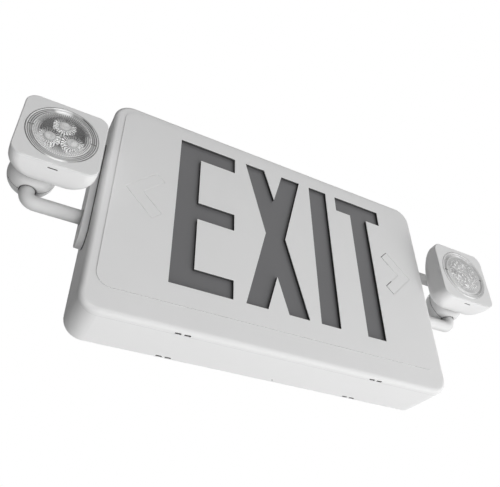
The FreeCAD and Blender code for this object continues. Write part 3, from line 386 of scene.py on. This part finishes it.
def head_plastic(name, side, plastics):
    """Head plastic with painted shade on the walls of the slot in its underside and on the rounding round its
    face.
    """
    paint = Paint(name)
    base = plastic_with_painted_shade(paint, plastics.head_colour)
    low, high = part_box(side + "_head_shell")
    mid_x = (low.x + high.x) / 2
    slot_y = low.y + SLOT_BACK
    across, depth, lift = paint.axis("X"), paint.axis("Y"), paint.axis("Z")
    slot = (between(across, mid_x - SLOT_HALF, mid_x + SLOT_HALF)
            * between(depth, slot_y + SLOT_DEPTHS[0], slot_y + SLOT_DEPTHS[1])
            * between(lift, low.z + SLOT_LIFTS[0], low.z + SLOT_LIFTS[1]))
    # painted shade on the rounding round the face, which softens its highlight
    rounding = between(depth, low.y + HEAD_ROUNDING[0], low.y + HEAD_ROUNDING[1])
    base = paint.blend(rounding, base, scaled(plastics.head_colour, HEAD_ROUNDING_SHADE))
    # painted shade on the walls of the slot
    base = paint.blend(slot, base, plastics.cut_edge_shade_colour)
    return grained(paint, base, plastics, HEAD_GLOSS, FINE_GRAIN)


def cover_plastic(name, plastics):
    """Cover plastic with painted shade on the letter edges, in the snap windows, on the panel step and on the
    lower rounding.
    """
    paint = Paint(name)
    base = drifting_colour(paint, plastics.shell_colour)
    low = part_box("front_cover")[0]
    face_y = low.y
    across, depth, lift = paint.axis("X"), paint.axis("Y"), paint.axis("Z")
    word = between(across, *WORD_ACROSS) * between(lift, *WORD_UP)
    cut = between(depth, face_y + CUT_EDGE_START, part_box("letter_diffuser")[0].y + DIFFUSER_OVERLAP)
    windows = snap_windows(paint, face_y + WINDOW_FROM_FACE, "front_cover")
    # painted shade on the walls of the letter openings and of the snap windows
    base = paint.blend(cut * word + windows, base, plastics.cut_edge_shade_colour)
    # painted shade on the wall round the raised panel
    panel = between(across, *PANEL_ACROSS) * between(lift, *PANEL_UP)
    step = between(depth, face_y + PANEL_STEP[0], face_y + PANEL_STEP[1]) * (1.0 - panel)
    base = paint.blend(step, base, plastics.step_shade_colour)
    # painted shade on the lower rounding, which narrows its highlight
    lowest = paint.ramp((lift - low.z) * (1 / ROUNDING_HEIGHT), [(0.5, 1.0), (1.0, 0.0)])
    foremost = paint.ramp((depth - face_y) * (1 / ROUNDING_DEPTH), [(0.62, 1.0), (0.94, 0.0)])
    base = paint.blend(lowest * foremost * ROUNDING_SHADE, base, BLACK)
    return grained(paint, base, plastics)


def snap_windows(paint, mid_y, node):
    """1 on the walls of the small snap windows in the top and bottom, whose middles lie at mid_y."""
    low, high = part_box(node)
    from_pair = paint.size(paint.size(paint.axis("X")) - SNAP_MIDDLE)
    across = paint.size(from_pair - SNAP_HALF_PITCH) < WINDOW_HALF_WIDTH
    along = paint.size(paint.axis("Y") - mid_y) < WINDOW_HALF_DEPTH
    lift = paint.axis("Z")
    inside = between(lift, low.z + WINDOW_SKIN, high.z - WINDOW_SKIN)
    near = (lift < low.z + WINDOW_DEEP) + (lift > high.z - WINDOW_DEEP)
    return across * along * inside * near


def back_plastic(name, plastics):
    """Plastic of the back, with painted shade on the walls of its snap windows."""
    paint = Paint(name)
    windows = snap_windows(paint, -WINDOW_FROM_WALL, "back_plate")
    # painted shade on the walls of the snap windows
    base = paint.blend(windows, plastic_with_painted_shade(paint, plastics.shell_colour), plastics.cut_edge_shade_colour)
    return grained(paint, base, plastics)


def letter_sheet(name, colour):
    """Dark translucent sheet with fine diffusing grain."""
    paint = Paint(name)
    base = paint.blend(paint.noise(60 * MM), scaled(colour, 0.93), scaled(colour, 1.07))
    grain = paint.noise(0.4 * MM, 3.0, 0.6)
    return paint.done(paint.surface(Base_Color=base, Roughness=0.38 + grain * 0.12,
                                    Normal=paint.bump(grain, 0.01 * MM)))


def plated_metal(name, colour, rough):
    """Zinc-plated steel with faint spangle."""
    paint = Paint(name)
    spangle = paint.noise(2.5 * MM)
    base = paint.blend(spangle, scaled(colour, 0.85), colour)
    return paint.done(paint.surface(Base_Color=base, Metallic=1.0, Roughness=rough + spangle * 0.15,
                                    Normal=paint.bump(paint.noise(0.3 * MM, 3.0), 0.004 * MM)))


def circuit_board(name):
    """Green solder mask over faint copper tracks."""
    paint = Paint(name)
    tracks = paint.add("ShaderNodeTexBrick", output="Fac",
                       inputs={"Vector": paint.place(), "Scale": 300.0, "Mortar Size": 0.03})
    base = paint.blend(tracks, (0.012, 0.10, 0.04), (0.03, 0.2, 0.08))
    return paint.done(paint.surface(Base_Color=base, Roughness=0.35 + tracks * 0.1,
                                    Normal=paint.bump(tracks, 0.02 * MM)))


def laminated_iron(name):
    """Varnished laminations."""
    paint = Paint(name)
    sheets = paint.add("ShaderNodeTexWave", {"bands_direction": "Y"}, output="Fac",
                       inputs={"Vector": paint.place(), "Scale": 320.0})
    base = paint.blend(sheets, (0.05, 0.05, 0.055), (0.12, 0.12, 0.125))
    return paint.done(paint.surface(Base_Color=base, Metallic=0.7, Roughness=0.4,
                                    Normal=paint.bump(sheets, 0.05 * MM)))


def shrink_sleeve(name):
    """Glossy shrink film with slight ripples."""
    paint = Paint(name)
    ripple = paint.noise(5 * MM)
    base = paint.blend(ripple, (0.03, 0.09, 0.22), (0.05, 0.13, 0.3))
    return paint.done(paint.surface(Base_Color=base, Roughness=0.2 + ripple * 0.1,
                                    Normal=paint.bump(ripple, 0.1 * MM)))


def small_plastic(name, colour, rough):
    """Plain satin plastic for small parts."""
    paint = Paint(name)
    grain = paint.noise(0.5 * MM, 3.0)
    base = paint.blend(paint.noise(6 * MM), scaled(colour, 0.92), colour)
    return paint.done(paint.surface(Base_Color=base, Roughness=rough + grain * 0.08,
                                    Normal=paint.bump(grain, 0.006 * MM)))


def clear_plastic(name, body, haze, rough, tint):
    """Thin clear plastic: see-through face on, glossy and paler at grazing angles."""
    paint = Paint(name)
    smear = paint.noise(6 * MM)
    shine = paint.surface(Base_Color=paint.blend(smear, scaled(tint, 0.94), tint),
                          Roughness=rough + smear * 0.05, Specular_IOR_Level=0.8)
    return paint.done(paint.mix_shaders(body + paint.grazing(0.35) * haze, paint.clear(), shine))


def lens_plastic(name, optics, glare_level, sparks, contrast):
    """Clear lens: see-through middle, ribbed zone, pale ringed band, a notch at each side, a painted glare on
    top, a painted bright arc low on the rim and a painted dark arc at the upper right.

    sparks is how far the painted thin white caustic lines show, contrast how dark the rings in the band are."""
    paint = Paint(name)
    across, up, reach, turn = paint.dial()
    aside = paint.size(across)
    rings = paint.ramp(paint.wave(reach * optics.ring_count * math.pi), [(0.3, 0.0), (0.7, 1.0)])
    ribs = paint.ramp(paint.wave(turn * optics.rib_count), [(0.35, 0.0), (0.75, 1.0)])

    # zones by their distance from the middle
    band = paint.ramp(reach, [(0.0, 0.0), (0.75, 0.0), (0.79, 0.8), (0.9, 0.7), (0.93, 1.0), (1.0, 1.0)])
    ribbed = paint.ramp(reach, [(0.58, 0.0), (0.7, 1.0), (0.77, 1.0), (0.81, 0.0)])
    lattice = ribbed * (up < 0.2) * paint.ramp(aside, [(0.25, 0.0), (0.4, 1.0)]) * rings
    notch = (paint.size(up) < 0.018) * between(reach, 0.78, 0.92)

    # painted light and shade that stay at the top, the bottom and the upper right: a glare, a bright arc on
    # the rim and a dark arc
    left_of_middle, above = across + 0.14, up - 0.86
    from_glare = paint.maths("SQRT", left_of_middle * left_of_middle * 0.45 + above * above)
    glare = paint.ramp(from_glare, [(0.0, 0.75), (0.1, 0.6), (0.2, 0.0)]) * glare_level
    painted_rim_light = (paint.ramp(reach, [(0.93, 0.0), (0.955, 1.0), (1.0, 1.0)]) * (up < 0.0)
            * paint.ramp(aside, [(0.15, 1.0), (0.32, 0.0)]))
    groove = paint.ramp(reach, [(0.9, 0.0), (0.925, 1.0), (0.95, 1.0), (0.97, 0.0)])
    upper_right = paint.ramp(across, [(0.34, 0.0), (0.46, 1.0), (0.7, 0.8), (0.85, 0.0)]) * (up > 0.2)
    shade = groove * upper_right * glare_level
    # painted highlight: thin white caustic lines
    vein = paint.noise(4.4 * MM, 1.0)
    spark = (paint.size(vein - 0.5) < 0.022) * (reach < 0.66) * sparks

    # colour, then how much of it covers the clear body
    strong = paint.ramp(aside, [(0.15, 0.15), (0.6, 0.8)])
    tone = paint.blend(rings * strong + 0.5 * (1.0 - strong), grey(0.7 - 0.6 * contrast), grey(0.97))
    tone = paint.blend(ribbed * ribs, tone, grey(0.95))
    for mask, level in ((shade, 0.05), (notch, 0.03), (painted_rim_light, 1.0), (glare, 1.0), (spark, 1.0)):
        tone = paint.blend(mask, tone, grey(level))
    smear = paint.noise(6 * MM)
    shine = paint.surface(Base_Color=tone, Roughness=0.12 + smear * 0.06, Specular_IOR_Level=0.6)
    cover = (band * 0.8 + ribbed * ribs * 0.4 + lattice * 0.4 + notch * 0.7 + painted_rim_light + glare + spark
             + paint.grazing(0.3) * 0.12 + 0.03)
    glass = paint.mix_shaders(paint.maths("MINIMUM", cover, 1.0), paint.clear(), shine)

    # milky where it is seen from far aside, except along the white lines
    milk = paint.surface(Base_Color=paint.blend(smear, grey(0.46), grey(0.62)), Roughness=0.3,
                         Specular_IOR_Level=0.4)
    haze = paint.ramp(paint.grazing(0.5), [(0.4, 0.0), (0.49, 0.62), (0.8, 0.75)]) * (1.0 - spark * 0.8)
    return paint.done(paint.mix_shaders(haze, glass, milk))


def mirror_plastic(name, optics):
    """Metallised ribbed plastic with a painted reflection, dark in its upper half and pale in its lower half,
    which also glows faintly.
    """
    paint = Paint(name)
    up, turn = paint.dial()[1::2]
    # painted reflection: pale below and dark above, also fed to the emission as a painted glow
    painted_reflection = paint.ramp(up * 0.5 + 0.5, [(0.0, 0.66), (0.3, 0.62), (0.42, 0.42), (0.5, 0.15), (0.56, 0.09),
                                       (0.85, 0.08), (1.0, 0.2)])
    tone = painted_reflection * (0.78 + paint.wave(turn * optics.flute_count) * 0.35)
    peel = paint.noise(1.2 * MM)
    return paint.done(paint.surface(Base_Color=tone, Metallic=0.85, Roughness=0.3 + peel * 0.12,
                                    Emission_Color=tone, Emission_Strength=0.45,
                                    Normal=paint.bump(peel, 0.02 * MM), Specular_IOR_Level=0.4))


def crystal_plastic(name):
    """Clear fluted bell: painted white flashes down its flutes, painted shade on the side away from the
    light, and a faint painted glow.
    """
    paint = Paint(name)
    up, turn = paint.dial()[1::2]
    sparkle = paint.noise(2.0 * MM)
    flutes = paint.wave(turn * 24.0 + sparkle * 10.0)
    flash = paint.ramp(flutes * 0.5 + sparkle * 0.6, [(0.0, 0.05), (0.4, 0.12), (0.5, 0.75), (0.58, 1.0)])
    # painted shade on the upper side, away from the light
    lit = paint.ramp(up * 0.5 + 0.5, [(0.0, 1.0), (0.6, 1.0), (0.78, 0.3), (1.0, 0.22)])
    tone = flash * lit
    # the flashes also glow, as painted light
    return paint.done(paint.surface(Base_Color=tone, Metallic=0.35, Emission_Color=tone,
                                    Emission_Strength=0.35, Roughness=0.3 + sparkle * 0.1,
                                    Normal=paint.bump(sparkle, 0.2 * MM), Specular_IOR_Level=0.5))


def frosted_disc(name):
    """Pebbled disc in the middle of a collimator, darker at its rim, with a faint painted glow."""
    paint = Paint(name)
    across, up, reach = paint.dial()[:3]
    pebbles = paint.maths("SINE", across * 22.0) * paint.maths("SINE", up * 22.0) * 0.5 + 0.5
    tone = paint.blend(pebbles, grey(0.78), grey(0.98))
    tone = paint.blend(paint.ramp(reach, [(0.88, 0.0), (0.96, 1.0)]), tone, grey(0.55))
    return paint.done(paint.surface(Base_Color=tone, Roughness=0.5 + pebbles * 0.1,
                                    Emission_Color=tone, Emission_Strength=0.1,
                                    Normal=paint.bump(pebbles, 0.1 * MM), Specular_IOR_Level=0.3))


def seen_directly(paint):
    """1 where the camera sees a surface itself, in gloss or through clear parts."""
    camera, gloss, through = (paint.add("ShaderNodeLightPath", output=name) for name in
                              ("Is Camera Ray", "Is Glossy Ray", "Is Transmission Ray"))
    return paint.maths("MAXIMUM", paint.maths("MAXIMUM", camera, gloss), through)


# ---- mesh helpers ------------------------------------------------------------------
def new_piece(name, material, smooth_angle, mesh_builder):
    """Runs a mesh builder and returns the object, shaded smooth up to an angle in degrees."""
    mesh = bpy.data.meshes.new(name)
    form = bmesh.new()
    mesh_builder(form)
    bmesh.ops.recalc_face_normals(form, faces=form.faces)
    limit = math.radians(smooth_angle)
    for edge in form.edges:
        edge.smooth = len(edge.link_faces) == 2 and edge.calc_face_angle(0.0) < limit
    for face in form.faces:
        face.smooth = True
    form.to_mesh(mesh)
    form.free()
    mesh.materials.append(material)
    piece = bpy.data.objects.new(name, mesh)
    bpy.context.scene.collection.objects.link(piece)
    return piece


def lathe(form, profile, segments, centre, ripple=None):
    """Turns (radius, y) points about the line through centre along Y, and joins the ends unless they meet it.

    ripple(point_index, turn) returns (radius change, y change) there."""
    rings = []
    for index, (radius, y) in enumerate(profile):
        if radius == 0.0:
            rings.append([form.verts.new(centre + Vector((0, y, 0)))])
            continue
        ring = []
        for step in range(segments):
            turn = 2 * math.pi * step / segments
            dr, dy = ripple(index, turn) if ripple else (0.0, 0.0)
            reach = radius + dr
            spot = Vector((reach * math.sin(turn), y + dy, reach * math.cos(turn)))
            ring.append(form.verts.new(centre + spot))
        rings.append(ring)
    pairs = list(zip(rings, rings[1:]))
    if len(rings[0]) > 1 and len(rings[-1]) > 1:
        pairs.append((rings[-1], rings[0]))
    for a, b in pairs:
        for step in range(segments):
            after = (step + 1) % segments
            corners = [a[step % len(a)], a[after % len(a)], b[after % len(b)], b[step % len(b)]]
            unique = list(dict.fromkeys(corners))
            if len(unique) > 2:
                form.faces.new(unique)


def dress(node, material):
    """Gives a CAD node its finish."""
    item = frame["nodes"][node]
    for slot in item.material_slots:
        slot.material = material
    if not item.material_slots:
        item.data.materials.append(material)


def turning_point(low, high):
    """Middle of a round piece's box, on the plane y = 0."""
    return Vector(((low.x + high.x) / 2, 0, (low.z + high.z) / 2))


# ---- operators --------------------------------------------------------------------
class EXITLIGHT_OT_housing(Operator):
    """Grained plastic on the cover, frame and back, and the grey sheet behind the letters"""
    bl_idname = "exitlight.housing"
    bl_label = "Finish housing"

    def execute(self, context):
        plastics = context.scene.exit_light_plastics
        dress("front_cover", cover_plastic("cover_plastic", plastics))
        shell = pad_plastic("shell_plastic", plastics)
        for side in SIDES:
            dress(side + "_arm_pad", shell)
        dress("housing_frame", frame_plastic("frame_plastic", plastics))
        dress("back_plate", back_plastic("back_plastic", plastics))
        dress("letter_diffuser", letter_sheet("letter_sheet", plastics.letter_colour))
        return {"FINISHED"}


class EXITLIGHT_OT_inner_parts(Operator):
    """Boards, battery, transformer, tray and fixings inside the housing"""
    bl_idname = "exitlight.inner_parts"
    bl_label = "Finish inner parts"

    def execute(self, context):
        steel = plated_metal("zinc_plate", (0.62, 0.62, 0.64), 0.28)
        board = circuit_board("solder_mask")
        for node in ("case_screws", "board_screws", "battery_strap"):
            dress(node, steel)
        for node in ("main_board", "led_strip_top", "led_strip_bottom", "side_board"):
            dress(node, board)
        dress("transformer", laminated_iron("transformer_iron"))
        dress("battery_pack", shrink_sleeve("battery_sleeve"))
        dress("light_tray", small_plastic("tray_plastic", (0.85, 0.85, 0.85), 0.5))
        dress("terminal_block", small_plastic("terminal_plastic", (0.7, 0.7, 0.66), 0.4))
        for side in SIDES:
            for part in ("rail_nuts", "ball_screws", "head_stud", "spring_washer", "stud_nut"):
                dress(side + "_" + part, steel)
            dress(side + "_head_board", board)
        return {"FINISHED"}


class EXITLIGHT_OT_controls(Operator):
    """Test button, its switch and spring, and the status lamp's lens"""
    bl_idname = "exitlight.controls"
    bl_label = "Finish test button"

    def execute(self, context):
        dress("test_button", small_plastic("button_plastic", (0.8, 0.8, 0.8), 0.3))
        dress("test_switch", small_plastic("switch_plastic", (0.03, 0.03, 0.03), 0.35))
        wire = plated_metal("spring_wire", (0.5, 0.5, 0.52), 0.25)
        dress("button_spring", wire)
        self.coil(wire)
        dress("status_lens", clear_plastic("status_plastic", 0.55, 0.4, 0.08, (0.6, 0.08, 0.05)))
        return {"FINISHED"}

    def coil(self, material):
        """The button's spring as a piece of its own with the wire finish, fixed to the housing in place of
        the CAD spring.
        """
        low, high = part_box("button_spring")
        joints = frame["record"]["behaviour"]["joints"]
        travel = next(joint["range_m"][1] for joint in joints if joint["name"] == "button_press")
        mesh = frame["nodes"]["button_spring"].data.copy()
        mesh.materials.clear()
        mesh.materials.append(material)
        piece = bpy.data.objects.new("button_coil", mesh)
        bpy.context.scene.collection.objects.link(piece)
        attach(piece, "housing")
        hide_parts("button_spring")
        1 - travel / (high.x - low.x)
        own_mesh(piece)


class EXITLIGHT_OT_arms(Operator):
    """Rails and swivel balls"""
    bl_idname = "exitlight.arms"
    bl_label = "Finish arms"

    def execute(self, context):
        satin = arm_plastic("arm_plastic", context.scene.exit_light_plastics)
        for side in SIDES:
            for part in ("arm_rail", "ball_front", "ball_rear"):
                dress(side + "_" + part, satin)
        return {"FINISHED"}


class EXITLIGHT_OT_lamp_heads(Operator):
    """Lamp heads with ribbed lens, fluted reflector and three collimators each"""
    bl_idname = "exitlight.lamp_heads"
    bl_label = "Build lamp heads"

    def execute(self, context):
        plastics = context.scene.exit_light_plastics
        optics = context.scene.exit_light_optics
        # the two lenses carry different painted light: strong glare and a dark arc on the left one, faint
        # glare, white caustic lines and paler rings on the right one
        lenses = {"left": lens_plastic("left_lens_plastic", optics, 1.0, 0.0, 1.0),
                  "right": lens_plastic("right_lens_plastic", optics, 0.2, 1.0, 0.1)}
        crystal = crystal_plastic("collimator_plastic")
        frost = frosted_disc("frosted_disc")
        mirror = mirror_plastic("reflector_metal", optics)
        for side in SIDES:
            dress(side + "_head_shell", head_plastic(side + "_head_plastic", side, plastics))
            self.lens(side, optics, lenses[side])
            self.reflector(side, optics, mirror)
            self.collimators(side, optics, crystal, frost)
        return {"FINISHED"}

    def lens(self, side, optics, material):
        """Clear lens: wide outer ring, stepped rings and a ribbed band behind the face."""
        low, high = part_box(side + "_head_lens")
        radius = (high.x - low.x) / 2
        front, back = low.y, high.y
        face = [(0.0, front + 0.05 * MM)]
        for share in (0.2, 0.4, 0.6, 0.77):
            face.append((radius * share, front + LENS_DOME * share ** 2))
        for ridge in (0.80, 0.825, 0.85, 0.875):
            face += [(radius * ridge, front + LENS_DOME * 0.6),
                     (radius * (ridge + 0.01), front + LENS_DOME * 0.9)]
        for share, rise in ((0.90, 0.7), (0.94, 0.85), (0.95, 0.5), (0.985, 0.5), (1.0, 0.9)):
            face.append((radius * share, front + LENS_DOME * rise))
        face.append((radius, back))
        skirt = radius - LENS_SKIRT
        rear = [(skirt, back), (skirt, front + 3.1 * MM)]
        ribbed = range(len(face) + len(rear), len(face) + len(rear) + 4)
        rear += [(radius * share, front + rise * MM) for share, rise in
                 ((0.88, 2.4), (0.78, 1.9), (0.70, 1.6), (0.62, 1.5), (0.3, 1.0), (0.0, 0.9))]
        count = optics.rib_count

        def ribs(index, turn):
            return 0.0, RIB_HEIGHT * math.cos(turn * count) if index in ribbed else 0.0
        piece = new_piece(side + "_lens", material, 25.0,
                          lambda form: lathe(form, face + rear, count * FACETS_PER_RIB,
                                             turning_point(low, high), ribs))
        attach(piece, side + "_head")
        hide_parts(side + "_head_lens")

    def reflector(self, side, optics, material):
        """Fluted cone with a flat base."""
        low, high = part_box(side + "_head_reflector")
        outer = (high.x - low.x) / 2
        front, back = low.y, high.y
        rim, base, floor = outer - 2.2 * MM, 18.0 * MM, back - 1.0 * MM
        profile = [(outer, front), (rim, front), (rim - 1.2 * MM, front + 1.6 * MM),
                   (base + 1.5 * MM, back - 2.4 * MM), (base, back - 1.4 * MM), (base - 1 * MM, floor),
                   (0.0, floor), (0.0, back), (base, back),
                   (rim, front + 1.0 * MM), (outer, front + 1.0 * MM)]
        flute_depths = {2: 0.25 * MM, 3: 0.25 * MM, 4: 0.12 * MM}
        count = optics.flute_count

        def flutes(index, turn):
            return flute_depths.get(index, 0.0) * math.cos(turn * count), 0.0
        piece = new_piece(side + "_reflector", material, 30.0,
                          lambda form: lathe(form, profile, count * FACETS_PER_RIB,
                                             turning_point(low, high), flutes))
        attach(piece, side + "_head")
        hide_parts(side + "_head_reflector")

    def collimators(self, side, optics, crystal, frost):
        """Three fluted bells cut back to each other, each with a frosted disc in front."""
        low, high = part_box(side + "_head_lens")
        base_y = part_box(side + "_head_reflector")[1].y - 1.0 * MM
        rim_y = low.y + 1.9 * MM
        disc_y = rim_y + 0.9 * MM
        disc, bell, petals = optics.disc_radius, optics.bell_radius, optics.petal_count
        flat = optics.emitter_ring * math.cos(math.radians(30)) - optics.bell_gap / 2
        profile = [(0.0, base_y), (3.2 * MM, base_y), (bell * 0.55, base_y - 2.6 * MM),
                   (bell * 0.9, rim_y + 2.8 * MM), (bell, disc_y), (bell * 0.97, rim_y),
                   (bell * 0.8, rim_y + 0.1 * MM), (disc + 0.5 * MM, disc_y), (disc, disc_y), (0.0, disc_y)]
        flute_depths = (0, 0.02, 0.06, 0.09, 0.09, 0.08, 0.05, 0, 0, 0)
        middle = turning_point(low, high)
        for number, degrees in enumerate(EMITTER_TURNS):
            angle = math.radians(degrees)
            outward = Vector((math.sin(angle), 0, math.cos(angle)))
            spot = middle + outward * optics.emitter_ring
            neighbours = (angle + math.radians(150), angle - math.radians(150))

            def flute(index, turn):
                radius = profile[index][0]
                reach = radius * (1 - flute_depths[index] * abs(math.sin(turn * petals / 2)))
                for toward in neighbours:
                    facing = math.cos(turn - toward)
                    if facing * reach > flat:
                        reach = flat / facing
                return reach - radius, 0.0
            name = "%s_collimator_%d" % (side, number + 1)
            bellpiece = new_piece(name, crystal, 25.0,
                                  lambda form: lathe(form, profile, petals * FACETS_PER_PETAL, spot, flute))
            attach(bellpiece, side + "_head")
            if number == 0:
                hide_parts(side + "_head_optics")
            foot_y = rim_y + 0.7 * MM
            face = [(0.0, rim_y - 0.85 * MM), (disc * 0.6, rim_y - 0.75 * MM),
                    (disc * 0.95, rim_y - 0.35 * MM), (disc, rim_y), (disc, foot_y), (0.0, foot_y)]
            frosted = new_piece(name + "_disc", frost, 30.0,
                                lambda form: lathe(form, face, DISC_SEGMENTS, spot))
            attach(frosted, side + "_head")


class EXITLIGHT_OT_stage(Operator):
    """Camera, soft lamps, pale floor and white surroundings"""
    bl_idname = "exitlight.stage"
    bl_label = "Build stage"

    def execute(self, context):
        studio = context.scene.exit_light_studio
        scene = context.scene
        camera = bpy.data.cameras.new("camera")
        camera.sensor_width = 36.0
        camera.sensor_fit = "HORIZONTAL"
        camera.lens = studio.camera_lens
        camera.clip_start = 0.01
        stand = bpy.data.objects.new("camera", camera)
        stand.location = studio.camera_place
        stand.rotation_euler = [math.radians(a) for a in studio.camera_turn]
        scene.collection.objects.link(stand)
        scene.camera = stand
        scene.view_settings.view_transform = "Standard"
        self.lamp("key_lamp", studio.key_place, studio.key_size, studio.key_power)
        self.lamp("fill_lamp", studio.fill_place, studio.key_size, studio.fill_power)
        self.floor(studio)
        self.surroundings(studio)
        return {"FINISHED"}

    def lamp(self, name, place, width, power):
        light = bpy.data.lights.new(name, "AREA")
        light.shape = "DISK"
        light.size = width
        light.energy = power
        item = bpy.data.objects.new(name, light)
        item.location = place
        item.rotation_euler = (-Vector(place)).to_track_quat("-Z", "Y").to_euler()
        bpy.context.scene.collection.objects.link(item)

    def floor(self, studio):
        paint = Paint("floor_paint")
        cloud = paint.noise(0.6)
        tone = paint.blend(cloud, grey(0.84), grey(0.88))
        plain = paint.surface(Base_Color=tone, Roughness=0.7)
        pale = paint.add("ShaderNodeEmission", inputs={"Color": (*WHITE, 1.0), "Strength": 1.0})
        mixed = paint.mix_shaders(seen_directly(paint) * 0.8, plain, pale)
        mesh = bpy.data.meshes.new("floor")
        form = bmesh.new()
        corners = [form.verts.new((x * FLOOR_HALF, y * FLOOR_HALF, -studio.floor_drop)) for x, y in
                   ((-1, -1), (1, -1), (1, 1), (-1, 1))]
        form.faces.new(corners)
        form.to_mesh(mesh)
        form.free()
        mesh.materials.append(paint.done(mixed))
        floor = bpy.data.objects.new("floor", mesh)
        bpy.context.scene.collection.objects.link(floor)

    def surroundings(self, studio):
        """White where it is seen; as a light it is dimmer, and fades to one side."""
        paint = Paint("surroundings", bpy.data.worlds)
        bpy.context.scene.world = paint.owner
        seen = seen_directly(paint)
        way = paint.add("ShaderNodeTexCoord", output="Generated")
        toward = paint.add("ShaderNodeVectorMath", {"operation": "DOT_PRODUCT"},
                           {0: way, 1: tuple(studio.sky_side)}, output="Value")
        level = seen + (1.0 - seen) * (toward + 1.0) * studio.sky_level
        sky = paint.add("ShaderNodeBackground", inputs={"Color": (*WHITE, 1.0), "Strength": level})
        paint.add("ShaderNodeOutputWorld", inputs={"Surface": sky})


class EXITLIGHT_PT_sidebar(Panel):
    """Lists the steps and their settings"""
    bl_idname = "EXITLIGHT_PT_sidebar"
    bl_label = "Exit light"
    bl_space_type = "VIEW_3D"
    bl_region_type = "UI"
    bl_category = "Exit light"

    def draw(self, context):
        for operator in OPERATORS:
            self.layout.operator(operator.bl_idname)
        for group in ("exit_light_plastics", "exit_light_optics", "exit_light_studio"):
            settings = getattr(context.scene, group)
            box = self.layout.box()
            for name in settings.bl_rna.properties.keys():
                if name not in ("rna_type", "name"):
                    box.prop(settings, name)


OPERATORS = (EXITLIGHT_OT_housing, EXITLIGHT_OT_inner_parts, EXITLIGHT_OT_controls, EXITLIGHT_OT_arms,
             EXITLIGHT_OT_lamp_heads, EXITLIGHT_OT_stage)
SETTINGS = (ExitLightPlastics, ExitLightOptics, ExitLightStudio)


def register():
    for kind in SETTINGS + OPERATORS + (EXITLIGHT_PT_sidebar,):
        bpy.utils.register_class(kind)
    bpy.types.Scene.exit_light_plastics = PointerProperty(type=ExitLightPlastics)
    bpy.types.Scene.exit_light_optics = PointerProperty(type=ExitLightOptics)
    bpy.types.Scene.exit_light_studio = PointerProperty(type=ExitLightStudio)


def unregister():
    del bpy.types.Scene.exit_light_studio
    del bpy.types.Scene.exit_light_optics
    del bpy.types.Scene.exit_light_plastics
    for kind in reversed(SETTINGS + OPERATORS + (EXITLIGHT_PT_sidebar,)):
        bpy.utils.unregister_class(kind)


def main():
    register()
    for operator in OPERATORS:
        group, name = operator.bl_idname.split(".")
        getattr(getattr(bpy.ops, group), name)()


if __name__ == "__main__":
    main()
